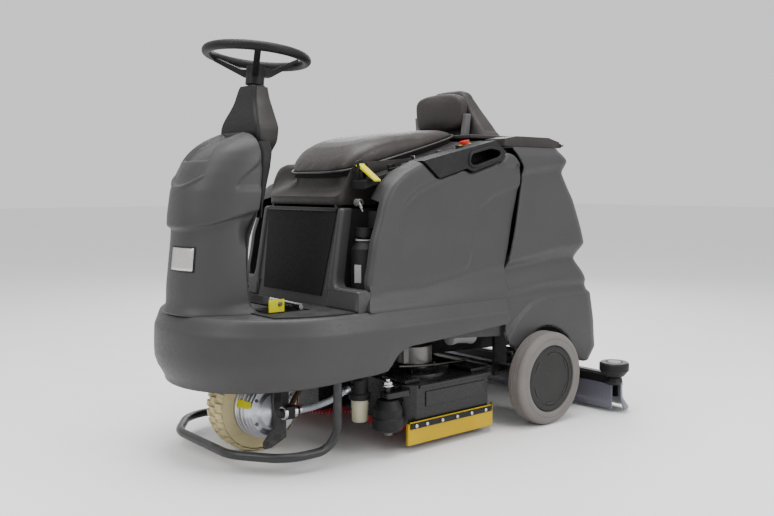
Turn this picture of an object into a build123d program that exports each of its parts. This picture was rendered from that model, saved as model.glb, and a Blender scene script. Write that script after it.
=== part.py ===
from build123d import *
from math import asin, cos, degrees, radians, sin, tan
import os

os.makedirs("parts", exist_ok=True)

# Ride-on floor scrubber, millimetres. The origin is on the floor under the middle of the machine:
# +X points forward, +Y to the driver's left, +Z up.

# ---- driving dimensions: running gear ----
rear_axle_x = -390.0
rear_radius = 152.5
rear_width = 63.0
rear_face_y = 406.0
hub_radius = 109.0
axle_radius = 12.5
drive_x = 490.0
drive_radius = 140.0
drive_width = 84.0
drive_rim = 95.0
motor_radius = 92.0
motor_face_y = 132.0
stem_radius = 25.0
run_fit = 0.05

# ---- driving dimensions: frame and lower body ----
wall = 4.0
floor_z = 430.0
cowl_half = 365.0
cowl_centre_x = 400.0
cowl_rear_x = -229.0
crease_z = 385.0
cowl_bevel = 20.0
rail_y = 170.0
rail_width = 40.0
rail_height = 60.0
rail_front_x = 610.0
rail_rear_x = -600.0
mat_thick = 4.0

# ---- driving dimensions: upper body ----
body_half = 335.0
shoulder_y = 264.0
seat_half = 195.0
box_half = 187.0
box_top_z = 714.0
box_bottom_x = 358.0
box_top_x = 311.0
step_top_z = 485.0
tank_half = 340.0
tank_rear_x = -745.0
tank_corner = 70.0
part_gap = 4.0
lid_z = 907.0
lid_half = 300.0

# ---- driving dimensions: steering ----
wheel_x = 465.0
wheel_z = 1154.0
wheel_tilt = 6.0
wheel_rim = 144.0
wheel_tube = 13.5
shaft_radius = 10.0
small_sprocket = 16.5
large_sprocket = 33.0
column_hole = 26.0
sprocket_z = 386.0
sprocket_thick = 6.0

# ---- driving dimensions: scrub deck and squeegee ----
brush_radius = 150.0
brush_bottom_z = 40.0
left_brush = (5.0, 168.0)
right_brush = (92.0, -164.0)
deck_half = 332.0
deck_bottom_z = 74.0
deck_top_z = 196.0
blade_y = 341.0
blade_length = 354.0
blade_bottom_z = 24.0
squeegee_half = 462.0
squeegee_pivot_x = -565.0
squeegee_pivot_z = 235.0
squeegee_pin = 6.0

rail_top = floor_z - wall
rail_bottom = rail_top - rail_height
axle_z = rear_radius
shaft_axis = (-sin(radians(wheel_tilt)), 0.0, cos(radians(wheel_tilt)))
pieces = {}


def shaft_x(z):
    """X of the steering shaft's centre line at height z."""
    return wheel_x + (wheel_z - z) * tan(radians(wheel_tilt))


def side_plane(y):
    """A plane standing along the machine at y; its extrusions run towards the right."""
    return Plane(origin=(0, y, 0), x_dir=(1, 0, 0), z_dir=(0, -1, 0))


def polygon(points):
    """A flat face with straight sides."""
    with BuildSketch() as face:
        with BuildLine():
            Polyline(*points, close=True)
        make_face()
    return face.sketch


def spun(profile, x, z, y=0.0):
    """A turned piece about a cross axle: profile points are (distance along Y, radius)."""
    with BuildPart() as piece:
        with BuildSketch(Plane(origin=(x, y, z), x_dir=(0, 1, 0), z_dir=(1, 0, 0))):
            add(polygon(profile))
        revolve(axis=Axis((x, y, z), (0, 1, 0)))
    return piece


def upright(profile, x, y):
    """A turned piece about an upright axis: profile points are (radius, height)."""
    with BuildPart() as piece:
        with BuildSketch(Plane(origin=(x, y, 0), x_dir=(1, 0, 0), z_dir=(0, -1, 0))):
            add(polygon(profile))
        revolve(axis=Axis((x, y, 0), (0, 0, 1)))
    return piece


def mirrored(source):
    """The same piece on the other side of the machine."""
    with BuildPart() as piece:
        add(mirror(source.part, about=Plane.XZ))
    return piece


# ================= frame =================
cross_members = (590.0, 30.0, -250.0, -580.0)
bumper_x = 395.0
bumper_half = 290.0
head_radius = 45.0
head_bottom = 330.0
head_plate = 10.0
plate_thick = 12.0
hanger_thick = 12.0
hanger_width = 60.0
bracket_y = 64.0
rail_mid = (rail_front_x + rail_rear_x) / 2
steer_plate_x = shaft_x(rail_top)

with BuildPart() as chassis_frame:
    with BuildSketch(Plane.XY.offset(rail_bottom)):
        with Locations((rail_mid, rail_y), (rail_mid, -rail_y)):
            Rectangle(rail_front_x - rail_rear_x, rail_width)
        for x in cross_members:
            with Locations((x, 0)):
                Rectangle(rail_width, 2 * rail_y)
        with Locations((bumper_x, 0)):
            Rectangle(rail_width, 2 * bumper_half + rail_width)
    extrude(amount=rail_height)
    with BuildSketch(Plane.XY.offset(rail_bottom)):
        with Locations((drive_x, 0)):
            Rectangle(2 * head_radius + 20, 2 * rail_y)
    extrude(amount=head_plate)
    with BuildSketch(Plane.XY.offset(head_bottom)):
        with Locations((drive_x, 0)):
            Circle(head_radius)
    extrude(amount=rail_bottom + head_plate - head_bottom)
    with BuildSketch(Plane.XY.offset(head_bottom)):
        with Locations((drive_x, 0)):
            Circle(stem_radius + run_fit)
    extrude(amount=rail_bottom + head_plate - head_bottom, mode=Mode.SUBTRACT)
    with BuildSketch(Plane.XY.offset(rail_top - plate_thick)):
        with Locations((steer_plate_x, 0)):
            Rectangle(50, 2 * rail_y)
    extrude(amount=plate_thick)
    with BuildSketch(Plane(origin=(steer_plate_x, 0, rail_top), z_dir=shaft_axis)):
        Circle(shaft_radius + run_fit)
    extrude(amount=40, both=True, mode=Mode.SUBTRACT)
    for y in (rail_y, -rail_y):
        with BuildSketch(side_plane(y + hanger_thick / 2)):
            with Locations((rear_axle_x, (rail_bottom + axle_z - 25) / 2)):
                Rectangle(hanger_width, rail_bottom - axle_z + 25)
        extrude(amount=hanger_thick)
        with BuildSketch(side_plane(y + hanger_thick)):
            with Locations((rear_axle_x, axle_z)):
                Circle(axle_radius)
        extrude(amount=2 * hanger_thick, mode=Mode.SUBTRACT)
    for y in (bracket_y, -bracket_y):
        with BuildSketch(side_plane(y + hanger_thick / 2)):
            add(polygon([(squeegee_pivot_x - 18, squeegee_pivot_z - 18),
                         (squeegee_pivot_x + 18, squeegee_pivot_z - 18),
                         (squeegee_pivot_x + 5, rail_bottom),
                         (squeegee_pivot_x - 35, rail_bottom)]))
        extrude(amount=hanger_thick)
    with BuildSketch(side_plane(bracket_y + hanger_thick)):
        with Locations((squeegee_pivot_x, squeegee_pivot_z)):
            Circle(squeegee_pin)
    extrude(amount=2 * bracket_y + 2 * hanger_thick)
pieces["chassis_frame"] = chassis_frame

axle_end = rear_face_y - 11
pieces["rear_axle"] = spun([(-axle_end, 0), (-axle_end, axle_radius),
                            (axle_end, axle_radius), (axle_end, 0)], rear_axle_x, axle_z)

# the bumper hoop: one bent tube, down from the frame, round the front and up again
tube_radius = 12.5
tube_wall = 2.0
hoop_z = 50.0
hoop_front = 660.0
hoop_shoulder = 560.0
hoop_nose_half = 150.0
hoop_bend = 70.0
hoop_corner = 120.0
with BuildPart() as bumper_ring:
    with BuildLine() as hoop:
        FilletPolyline((bumper_x, bumper_half, rail_bottom), (bumper_x, bumper_half, hoop_z),
                       (hoop_shoulder, bumper_half, hoop_z), (hoop_front, hoop_nose_half, hoop_z),
                       (hoop_front, -hoop_nose_half, hoop_z), (hoop_shoulder, -bumper_half, hoop_z),
                       (bumper_x, -bumper_half, hoop_z), (bumper_x, -bumper_half, rail_bottom),
                       radius=[hoop_bend, hoop_corner, hoop_corner, hoop_corner, hoop_corner, hoop_bend])
    with BuildSketch(Plane(origin=hoop.line @ 0, z_dir=hoop.line % 0)):
        Circle(tube_radius)
        Circle(tube_radius - tube_wall, mode=Mode.SUBTRACT)
    sweep()
pieces["bumper_ring"] = bumper_ring

# ================= lower body =================
side_bottom = [(cowl_rear_x - 10, 346), (-178, 343), (26, 331), (185, 323), (229, 307), (245, 283),
               (266, 257), (410, 246), (790, 223)]


def cowl_outline(inset):
    """The plan of the lower body: a half round nose and straight sides."""
    half = cowl_half - inset
    with BuildSketch() as plan:
        with BuildLine():
            Line((cowl_rear_x, -half), (cowl_centre_x, -half))
            ThreePointArc((cowl_centre_x, -half), (cowl_centre_x + half, 0), (cowl_centre_x, half))
            Line((cowl_centre_x, half), (cowl_rear_x, half))
            Line((cowl_rear_x, half), (cowl_rear_x, -half))
        make_face()
    return plan.sketch


cowl_base_z = 200.0
bevel_angle = degrees(asin(cowl_bevel / (floor_z - crease_z)))
with BuildPart() as lower_cowl:
    with BuildSketch(Plane.XY.offset(cowl_base_z)):
        add(cowl_outline(0))
    extrude(amount=crease_z - cowl_base_z)
    with BuildSketch(Plane.XY.offset(crease_z)):
        add(cowl_outline(0))
    extrude(amount=floor_z - crease_z, taper=bevel_angle)
    with BuildSketch(Plane.XY.offset(cowl_base_z)):
        add(cowl_outline(wall))
    extrude(amount=crease_z - cowl_base_z, mode=Mode.SUBTRACT)
    with BuildSketch(Plane.XY.offset(crease_z - wall)):
        add(cowl_outline(cowl_bevel + wall))
    extrude(amount=floor_z - crease_z, mode=Mode.SUBTRACT)
    with BuildSketch(Plane.XY.offset(crease_z)):
        with Locations((shaft_x(floor_z), 0)):
            Circle(column_hole)
    extrude(amount=80, mode=Mode.SUBTRACT)
    with BuildSketch(side_plane(cowl_half + 10)):
        add(polygon(side_bottom + [(790, 0), (cowl_rear_x - 10, 0)]))
    extrude(amount=2 * cowl_half + 20, mode=Mode.SUBTRACT)
pieces["lower_cowl"] = lower_cowl

mat_front = 590.0
mat_rear = 366.0
nose_clear_x = 470.0
nose_clear_y = 162.0
pedal_bay = (430.0, 580.0, 56.0, 214.0)
with BuildPart() as foot_mat:
    with BuildSketch(Plane.XY.offset(floor_z)):
        add(cowl_outline(cowl_bevel + 12))
        with Locations((mat_front + 200, 0)):
            Rectangle(400, 2 * cowl_half, mode=Mode.SUBTRACT)
        with Locations(((mat_rear + cowl_rear_x) / 2 - 5, 0)):
            Rectangle(mat_rear - cowl_rear_x + 10, 2 * cowl_half, mode=Mode.SUBTRACT)
        with Locations(((mat_front + nose_clear_x) / 2, 0)):
            Rectangle(mat_front - nose_clear_x, 2 * nose_clear_y, mode=Mode.SUBTRACT)
        with Locations(((pedal_bay[0] + pedal_bay[1]) / 2, (pedal_bay[2] + pedal_bay[3]) / 2)):
            Rectangle(pedal_bay[1] - pedal_bay[0], pedal_bay[3] - pedal_bay[2], mode=Mode.SUBTRACT)
    extrude(amount=mat_thick)
pieces["foot_mat"] = foot_mat

# ================= nose and steering column =================
# each level of the nose: height, front, rear corner, half width, rear bulge
nose_levels = [(floor_z, 752, 571, 150, 80), (500, 750, 592, 150, 80), (580, 744, 588, 150, 80),
               (650, 738, 572, 150, 80), (700, 740, 548, 150, 80), (768, 726, 542, 150, 80),
               (817, 706, 538, 150, 80), (864, 676, 540, 147, 10), (891, 642, 542, 140, 4),
               (914, 600, 543, 118, 3), (930, 570, 545, 84, 2)]


def nose_outline(front, rear, half, bulge):
    """A D-shaped plan: half round front, straight sides, shallow rear bulge."""
    with BuildSketch() as plan:
        with BuildLine():
            Line((rear, half), (max(front - half, rear + 2), half))
            ThreePointArc((max(front - half, rear + 2), half), (front, 0),
                          (max(front - half, rear + 2), -half))
            Line((max(front - half, rear + 2), -half), (rear, -half))
            Polyline((rear, -half), (rear - 0.1 * bulge, -half * 0.3), (rear - 1.1 * bulge, -half * 0.18),
                     (rear - 1.1 * bulge, half * 0.18), (rear - 0.1 * bulge, half * 0.3), (rear, half))
        make_face()
    return plan.sketch


with BuildPart() as nose_shell:
    for z, front, rear, half, bulge in nose_levels:
        with BuildSketch(Plane.XY.offset(z)):
            add(nose_outline(front, rear, half, bulge))
    loft(ruled=True)
    for z, front, rear, half, bulge in nose_levels[:-2]:
        with BuildSketch(Plane.XY.offset(z)):
            add(nose_outline(front - wall, rear + wall, half - wall, bulge))
    loft(ruled=True, mode=Mode.SUBTRACT)
    with BuildSketch(Plane(origin=(shaft_x(800), 0, 800), z_dir=shaft_axis)):
        Circle(column_hole + wall)
    extrude(amount=160, mode=Mode.SUBTRACT)
pieces["nose_shell"] = nose_shell

# the column cover above the nose: height, rear, front, half width
cover_levels = [(872, 476, 524, 80), (905, 464, 530, 96), (945, 460, 533, 98), (985, 460, 524, 76),
                (1030, 459, 512, 50), (1066, 458, 503, 37)]
cover_corner = 8.0
shaft_clear = 0.5


def column_section(rear, front, half):
    """A rounded rectangle round the column."""
    with BuildSketch() as plan:
        with Locations(((rear + front) / 2, 0)):
            RectangleRounded(front - rear, 2 * half, cover_corner)
    return plan.sketch


with BuildPart() as column_cover:
    for z, rear, front, half in cover_levels:
        with BuildSketch(Plane.XY.offset(z)):
            add(column_section(rear, front, half))
    loft()
    for z, rear, front, half in cover_levels[:-1]:
        with BuildSketch(Plane.XY.offset(z)):
            add(column_section(rear + wall, front - wall, half - wall))
    loft(mode=Mode.SUBTRACT)
    with BuildSketch(Plane(origin=(shaft_x(1000), 0, 1000), z_dir=shaft_axis)):
        Circle(shaft_radius + shaft_clear)
    extrude(amount=120, mode=Mode.SUBTRACT)
pieces["column_cover"] = column_cover

wheel_plane = Plane(origin=(wheel_x, 0, wheel_z), x_dir=(0, 1, 0), z_dir=shaft_axis)
hub_drop = 84.0
hub_length = 52.0
wheel_hub_radius = 27.0
shaft_grip = 33.6
spoke_turns = (90.0, 210.0, 330.0)
spoke_width = 18.0
with BuildPart() as steering_wheel:
    with BuildSketch(Plane(origin=(wheel_x, wheel_rim, wheel_z), x_dir=(0, 1, 0), z_dir=(1, 0, 0))):
        Circle(wheel_tube)
    revolve(axis=Axis((wheel_x, 0, wheel_z), shaft_axis))
    with BuildSketch(wheel_plane.offset(-hub_drop)):
        Circle(wheel_hub_radius)
    extrude(amount=hub_length)
    for turn in spoke_turns:
        arm = wheel_plane.rotated((0, 0, turn))
        spoke_plane = Plane(origin=wheel_plane.origin, x_dir=arm.x_dir, z_dir=arm.y_dir)
        with BuildSketch(spoke_plane.offset(-spoke_width / 2)):
            add(polygon([(15, 60), (40, 60), (wheel_rim - 5, 8), (wheel_rim - 5, -4), (50, 36), (15, 36)]))
        extrude(amount=spoke_width)
    with BuildSketch(wheel_plane.offset(-hub_drop)):
        Circle(shaft_radius)
    extrude(amount=shaft_grip, mode=Mode.SUBTRACT)
pieces["steering_wheel"] = steering_wheel

shaft_end_z = sprocket_z - 2
shaft_top_drop = hub_drop - shaft_grip
shaft_length = (wheel_z - shaft_end_z) / cos(radians(wheel_tilt)) - shaft_top_drop
with BuildPart() as steering_shaft:
    with BuildSketch(wheel_plane.offset(-shaft_top_drop)):
        Circle(shaft_radius)
    extrude(amount=-shaft_length)
    with BuildSketch(Plane.XY.offset(sprocket_z)):
        with Locations((shaft_x(sprocket_z), 0)):
            Circle(small_sprocket)
    extrude(amount=sprocket_thick)
pieces["steering_shaft"] = steering_shaft


def chain_plan(grow):
    """The outline of a chain round the two sprockets."""
    big = large_sprocket + grow
    small = small_sprocket + grow
    span = shaft_x(sprocket_z) - drive_x
    lean = asin((big - small) / span)
    with BuildSketch() as plan:
        with Locations((drive_x, 0)):
            Circle(big)
        with Locations((drive_x + span, 0)):
            Circle(small)
        add(polygon([(drive_x + big * sin(lean), big * cos(lean)),
                     (drive_x + span + small * sin(lean), small * cos(lean)),
                     (drive_x + span + small * sin(lean), -small * cos(lean)),
                     (drive_x + big * sin(lean), -big * cos(lean))]))
    return plan.sketch


chain_gap = 1.2
chain_thick = 4.0
with BuildPart() as steering_chain:
    with BuildSketch(Plane.XY.offset(sprocket_z)):
        add(chain_plan(chain_gap + chain_thick))
        add(chain_plan(chain_gap), mode=Mode.SUBTRACT)
    extrude(amount=sprocket_thick)
pieces["steering_chain"] = steering_chain

# ================= drive unit =================
arm_thick = 12.0
arm_inner_y = drive_width / 2 + 6
fork_top = 320.0
fork_plate = 20.0
sprocket_stub = 12.0
drive_axle = 15.0
hub_half = 36.0
terminal_z = 210.0
with BuildPart() as fork:
    with BuildSketch(Plane.XY.offset(fork_top - fork_plate)):
        with Locations((drive_x, (motor_face_y - arm_inner_y) / 2)):
            Rectangle(90, motor_face_y + arm_inner_y + 2 * arm_thick)
    extrude(amount=fork_plate)
    with BuildSketch(Plane.XY.offset(fork_top)):
        with Locations((drive_x, 0)):
            Circle(stem_radius)
    extrude(amount=rail_bottom + head_plate - fork_top - 1)
    with BuildSketch(Plane.XY.offset(fork_top)):
        with Locations((drive_x, 0)):
            Circle(sprocket_stub)
    extrude(amount=sprocket_z + sprocket_thick - fork_top)
    with BuildSketch(Plane.XY.offset(sprocket_z)):
        with Locations((drive_x, 0)):
            Circle(large_sprocket)
    extrude(amount=sprocket_thick)
    with BuildSketch(side_plane(-arm_inner_y)):
        add(polygon([(drive_x - 40, fork_top - 10), (drive_x - 30, 105), (drive_x + 30, 105),
                     (drive_x + 40, fork_top - 10)]))
    extrude(amount=arm_thick)
    with BuildSketch(side_plane(motor_face_y + arm_thick)):
        add(polygon([(drive_x - 20, fork_top - 10), (drive_x - 20, 62), (drive_x + 30, 40),
                     (drive_x + 52, 40), (drive_x + 52, 56), (drive_x + 20, 92),
                     (drive_x + 20, fork_top - 10)]))
    extrude(amount=arm_thick)
    with BuildSketch(side_plane(0)):
        with Locations((drive_x, drive_radius)):
            Circle(drive_axle + run_fit)
    extrude(amount=-arm_inner_y - arm_thick - 10, both=True, mode=Mode.SUBTRACT)
pieces["fork"] = fork

motor_inner_y = arm_inner_y + 4
with BuildPart() as drive_motor:
    add(spun([(motor_inner_y, drive_axle + run_fit), (motor_inner_y, motor_radius - 12),
              (motor_inner_y + 10, motor_radius), (motor_face_y - 16, motor_radius),
              (motor_face_y, motor_radius - 22), (motor_face_y, drive_axle + run_fit)],
             drive_x, drive_radius).part)
    with BuildSketch(Plane.XY.offset(terminal_z)):
        with Locations((drive_x, (motor_inner_y + motor_face_y) / 2)):
            Rectangle(50, 30)
    extrude(amount=fork_top - fork_plate - terminal_z)
pieces["drive_motor"] = drive_motor

pieces["drive_hub"] = spun([(-arm_inner_y - arm_thick, 0), (-arm_inner_y - arm_thick, drive_axle),
                            (-hub_half, drive_axle), (-hub_half, drive_rim), (hub_half, drive_rim),
                            (hub_half, drive_axle), (motor_face_y - 4, drive_axle),
                            (motor_face_y - 4, 0)], drive_x, drive_radius)
half_tread = drive_width / 2
pieces["drive_tyre"] = spun([(-half_tread, drive_rim), (-half_tread, drive_radius - 14),
                             (-half_tread + 12, drive_radius), (half_tread - 12, drive_radius),
                             (half_tread, drive_radius - 14), (half_tread, drive_rim)],
                            drive_x, drive_radius)

# ================= rear wheels =================
inner_y = rear_face_y - rear_width
pieces["rear_hub_left"] = spun([(inner_y + 2, axle_radius + run_fit), (inner_y + 2, 30), (inner_y + 8, 30),
                                (inner_y + 8, hub_radius), (rear_face_y - 8, hub_radius),
                                (rear_face_y - 3, hub_radius - 8), (rear_face_y - 3, 0),
                                (rear_face_y - 8, 0), (rear_face_y - 8, axle_radius + run_fit)],
                               rear_axle_x, axle_z)
pieces["rear_tyre_left"] = spun([(inner_y, hub_radius), (inner_y, rear_radius - 12),
                                 (inner_y + 8, rear_radius), (rear_face_y - 14, rear_radius),
                                 (rear_face_y - 4, rear_radius - 6), (rear_face_y, rear_radius - 16),
                                 (rear_face_y, hub_radius + 3), (rear_face_y - 4, hub_radius)],
                                rear_axle_x, axle_z)
pieces["rear_hub_right"] = mirrored(pieces["rear_hub_left"])
pieces["rear_tyre_right"] = mirrored(pieces["rear_tyre_left"])

# ================= seat box and its front panel =================
box_rear_x = -225.0
step_front_x = 356.0
recess_back_x = 200.0
recess_floor = 8.0
flange_front_x = 313.0
flange_depth = 28.0
box_profile = [(box_rear_x, floor_z), (box_bottom_x, floor_z),
               (box_top_x, box_top_z), (box_rear_x, box_top_z)]
box_inner = [(box_rear_x - 5, floor_z - 1), (box_bottom_x - wall, floor_z - 1),
             (box_top_x - wall, box_top_z + 1), (box_rear_x - 5, box_top_z + 1)]
pin_x = 300.0
pin_z = 734.0
pin_radius = 5.0
ear_y = 168.0
ear_thick = 10.0
with BuildPart() as seat_box:
    with BuildSketch(side_plane(box_half)):
        add(polygon(box_profile))
    extrude(amount=2 * box_half)
    with BuildSketch(side_plane(box_half - wall)):
        add(polygon(box_inner))
    extrude(amount=2 * (box_half - wall), mode=Mode.SUBTRACT)
    for side in (1, -1):
        with BuildSketch(Plane.XY.offset(floor_z)):
            with Locations(((flange_front_x + step_front_x) / 2, side * (box_half - 2 + body_half) / 2)):
                Rectangle(step_front_x - flange_front_x, body_half - box_half + 2)
        extrude(amount=step_top_z - floor_z)
        with BuildSketch(Plane.XY.offset(step_top_z - recess_floor)):
            with Locations(((recess_back_x + flange_front_x) / 2,
                            side * (box_half - 2 + body_half - flange_depth - 3) / 2)):
                Rectangle(flange_front_x - recess_back_x, body_half - flange_depth - box_half - 1)
        extrude(amount=recess_floor)
        with BuildSketch(Plane.XY.offset(step_top_z - recess_floor)):
            with Locations((recess_back_x, side * (box_half - 2 + body_half - wall - 1) / 2)):
                Rectangle(wall, body_half - wall - box_half + 1)
        extrude(amount=box_top_z - step_top_z)
        with BuildSketch(side_plane(side * ear_y + ear_thick / 2)):
            add(polygon([(pin_x - 30, box_top_z - 30), (box_top_x - wall + 2, box_top_z - 30),
                         (pin_x + 9, pin_z + 9), (pin_x - 9, pin_z + 9)]))
        extrude(amount=ear_thick)
        with BuildSketch(side_plane(side * ear_y + ear_thick)):
            with Locations((pin_x, pin_z)):
                Circle(pin_radius + run_fit)
        extrude(amount=2 * ear_thick, mode=Mode.SUBTRACT)
pieces["seat_box"] = seat_box

panel_low = 461.0
panel_high = 705.0
panel_low_half = 156.0
panel_high_half = 181.0
panel_thick = 3.0
box_lean = (box_bottom_x - box_top_x) / (box_top_z - floor_z)
panel_plane = Plane(origin=(box_bottom_x - box_lean * (panel_low - floor_z), 0, panel_low),
                    x_dir=(0, 1, 0), z_dir=(1, 0, box_lean))
panel_rise = (panel_high - panel_low) * (1 + box_lean ** 2) ** 0.5
with BuildPart() as front_panel:
    with BuildSketch(panel_plane):
        with BuildLine():
            Polyline((-panel_low_half, 0), (panel_low_half, 0), (panel_high_half, panel_rise),
                     (-panel_high_half, panel_rise), close=True)
        make_face()
    extrude(amount=panel_thick)
    fillet(front_panel.edges().filter_by(lambda e: abs(e.length - panel_thick) < 0.1), 6)
pieces["front_panel"] = front_panel

# ================= side shells and consoles =================
shell_front = [(310, 474), (316, 509), (305, 558), (294, 626), (275, 678), (258, 739), (231, 783)]
# the left side carries the controls, so its shoulder stands higher at the front
left_shoulder = [(186, 820), (126, 846)]
right_shoulder = [(196, 790), (150, 806), (126, 828)]
seam_low = [(117, 849), (52, 799), (-61, 830), (-89, 820), (-218, 857), (-237, 886)]
parting = [(-275, 880), (-309, 844), (-313, 795), (-293, 714), (-265, 613), (-234, 508), (-237, 451)]


def shell_profile(shoulder, inset):
    """The side view of a side shell, shrunk by inset."""
    with BuildSketch() as face:
        with BuildLine():
            Polyline(*shell_front, *shoulder, *seam_low, *parting, (-229, floor_z), (310, floor_z),
                     close=True)
        make_face()
        if inset:
            offset(amount=-inset, kind=Kind.INTERSECTION, mode=Mode.REPLACE)
    return face.sketch


def side_shell(shoulder):
    """A side shell, standing on the left, with the opening of its recess."""
    with BuildPart() as piece:
        with BuildSketch(side_plane(body_half)):
            add(shell_profile(shoulder, 0))
        extrude(amount=body_half - shoulder_y)
        with BuildSketch(side_plane(body_half - wall)):
            add(shell_profile(shoulder, wall))
        extrude(amount=body_half - shoulder_y, mode=Mode.SUBTRACT)
        with BuildSketch(side_plane(body_half - flange_depth)):
            add(polygon([(recess_back_x, step_top_z - recess_floor - 1),
                         (340, step_top_z - recess_floor - 1), (340, 700), (recess_back_x, 770)]))
        extrude(amount=body_half, mode=Mode.SUBTRACT)
        with BuildSketch(side_plane(body_half - flange_depth)):
            add(polygon([(recess_back_x, floor_z - 1), (340, floor_z - 1), (340, step_top_z),
                         (recess_back_x, step_top_z)]))
        extrude(amount=body_half, mode=Mode.SUBTRACT)
    return piece


pieces["side_shell_left"] = side_shell(left_shoulder)
pieces["side_shell_right"] = mirrored(side_shell(right_shoulder))

strip_inner_y = 203.0
strip_top = [(276, 793), (-205, 923)]
strip_thick = 22.0
strip_slope = (strip_top[1][1] - strip_top[0][1]) / (strip_top[0][0] - strip_top[1][0])
console_top = [(-182, 920), (112, 853)]
right_strip_x = 150.0
pocket = [(-66, 846), (-92, 837), (-206, 869), (-208, 892), (-160, 899), (-74, 878)]
pocket_depth = 56.0


def strip_z(x):
    """Height of the control strip's top at x."""
    return strip_top[0][1] + (strip_top[0][0] - x) * strip_slope


def strip_plane(x, y):
    """A plane on top of the control strip."""
    return Plane(origin=(x, y, strip_z(x)), x_dir=(1, 0, -strip_slope), z_dir=(strip_slope, 0, 1))


def console(with_controls):
    """A shoulder panel with its hand pocket, and the strip beside the seat."""
    front_x = strip_top[0][0] if with_controls else right_strip_x
    with BuildPart() as piece:
        with BuildSketch(side_plane(body_half + 1)):
            add(polygon([(116, 852), (52, 802), (-61, 833), (-89, 823), (-216, 860), (-234, 886)]
                        + console_top[:1]))
        extrude(amount=body_half + 1 - shoulder_y + 4)
        with BuildSketch(side_plane(shoulder_y - 1)):
            add(polygon([(front_x, strip_z(front_x)), strip_top[1],
                         (strip_top[1][0], strip_top[1][1] - strip_thick),
                         (front_x, strip_z(front_x) - strip_thick)]))
        extrude(amount=shoulder_y - 1 - strip_inner_y)
        with BuildSketch(side_plane(body_half + 2)):
            add(polygon(pocket))
        extrude(amount=pocket_depth, mode=Mode.SUBTRACT)
        if with_controls:
            with BuildSketch(side_plane(lever_cheek_y + 10)):
                for x in (lever_x - lever_width / 2 - 4, lever_x + lever_width / 2 + 4):
                    with Locations((x, lever_z - 18)):
                        Rectangle(5, 50)
            extrude(amount=18)
            with BuildSketch(Plane(origin=(lever_x, lever_cheek_y, lever_z), z_dir=(1, 0, 0))):
                Circle(lever_pin + run_fit)
            extrude(amount=30, both=True, mode=Mode.SUBTRACT)
            for x, radius in control_holes:
                with BuildSketch(strip_plane(x, control_y)):
                    Circle(radius + run_fit)
                extrude(amount=-control_depth, mode=Mode.SUBTRACT)
    return piece


lever_x = 251.0
lever_cheek_y = 214.0
lever_z = 838.0
lever_width = 22.0
lever_pin = 3.0
control_y = 236.0
control_depth = 14.0
knob_x = 152.0
key_x = 65.0
button_x = 0.0
stop_x = -150.0
control_holes = [(knob_x, 4), (key_x, 4), (button_x, 7), (stop_x, 6)]
pieces["console_left"] = console(True)
pieces["console_right"] = mirrored(console(False))


def pushed_in(x, stem, cap, cap_height, lift):
    """A turned control standing in its hole in the strip."""
    with BuildPart() as piece:
        base = strip_plane(x, control_y)
        with BuildSketch(base.offset(lift - control_depth + 1)):
            Circle(stem)
        extrude(amount=control_depth - 1)
        with BuildSketch(base.offset(lift)):
            Circle(cap)
        extrude(amount=cap_height)
    return piece


button_travel = 3.0
stop_travel = 5.0
with BuildPart() as rotary_knob:
    add(pushed_in(knob_x, 4, 13, 6, 0.5).part)
    with BuildSketch(strip_plane(knob_x, control_y).offset(6)):
        Rectangle(24, 6)
    extrude(amount=12)
pieces["rotary_knob"] = rotary_knob
with BuildPart() as key_switch:
    add(pushed_in(key_x, 4, 9, 5, 0.5).part)
    with BuildSketch(strip_plane(key_x, control_y).offset(5)):
        Rectangle(4, 14)
    extrude(amount=16)
pieces["key_switch"] = key_switch
pieces["push_button"] = pushed_in(button_x, 7, 7, 4, button_travel)
pieces["e_stop_button"] = pushed_in(stop_x, 6, 16, 8, stop_travel + 1)

with BuildPart() as side_lever:
    with BuildSketch(Plane(origin=(lever_x, lever_cheek_y, lever_z), z_dir=(1, 0, 0))):
        Circle(lever_pin)
    extrude(amount=lever_width / 2 + 6, both=True)
    with BuildSketch(Plane(origin=(lever_x, lever_cheek_y, lever_z), x_dir=(0, 1, 0), z_dir=(1, 0, 0))):
        Circle(6)
        add(polygon([(0, -4), (76, -46), (78, -42), (4, 3)]))
    extrude(amount=lever_width / 2, both=True)
pieces["side_lever"] = side_lever

canister_x = 262.0
canister_y = 246.0
canister_radius = 40.0
pieces["detergent_canister"] = upright([(0, step_top_z + 0.5), (canister_radius, step_top_z + 0.5),
                                        (canister_radius, 600), (24, 622), (18, 622), (18, 634), (26, 634),
                                        (26, 660), (0, 660)], canister_x, canister_y)

# ================= recovery tank and lid =================
tank_top_z = 902.0
tank_floor_z = floor_z - wall
tank_wall = 5.0
skirt_wall = 9.0
tank_cut_x = -225.0
lid_pin_x = -540.0
lid_pin_z = 915.0
lid_pin = 3.0
lid_barrel = 7.5
lid_ear_thick = 10.0
lid_ear_y = lid_half + 8
tank_front = [(-241, 451), (-238, 508), (-269, 613), (-297, 714), (-317, 795), (-313, 845), (-283, 882),
              (-268, tank_top_z)]
tank_rear = [(-524, tank_top_z), (-572, 866), (-562, 823), (-619, 735), (-673, 582), (-642, 530),
             (-688, 450), (-731, 264)]
tank_skirt = [(tank_rear_x, 212), (-704, 160), (-604, 178), (-568, 238), (-508, 292), (-435, 317),
              (-375, 310), (-341, 287), (-318, 264), (-294, 256), (-246, 276), (-234, 310)]


def tank_plan(inset):
    """The tank from above, with round rear corners."""
    half = tank_half - inset
    with BuildSketch() as plan:
        with BuildLine():
            FilletPolyline((tank_cut_x, half), (tank_rear_x + inset, half),
                           (tank_rear_x + inset, -half), (tank_cut_x, -half), radius=tank_corner)
            Line((tank_cut_x, -half), (tank_cut_x, half))
        make_face()
    return plan.sketch


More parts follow.
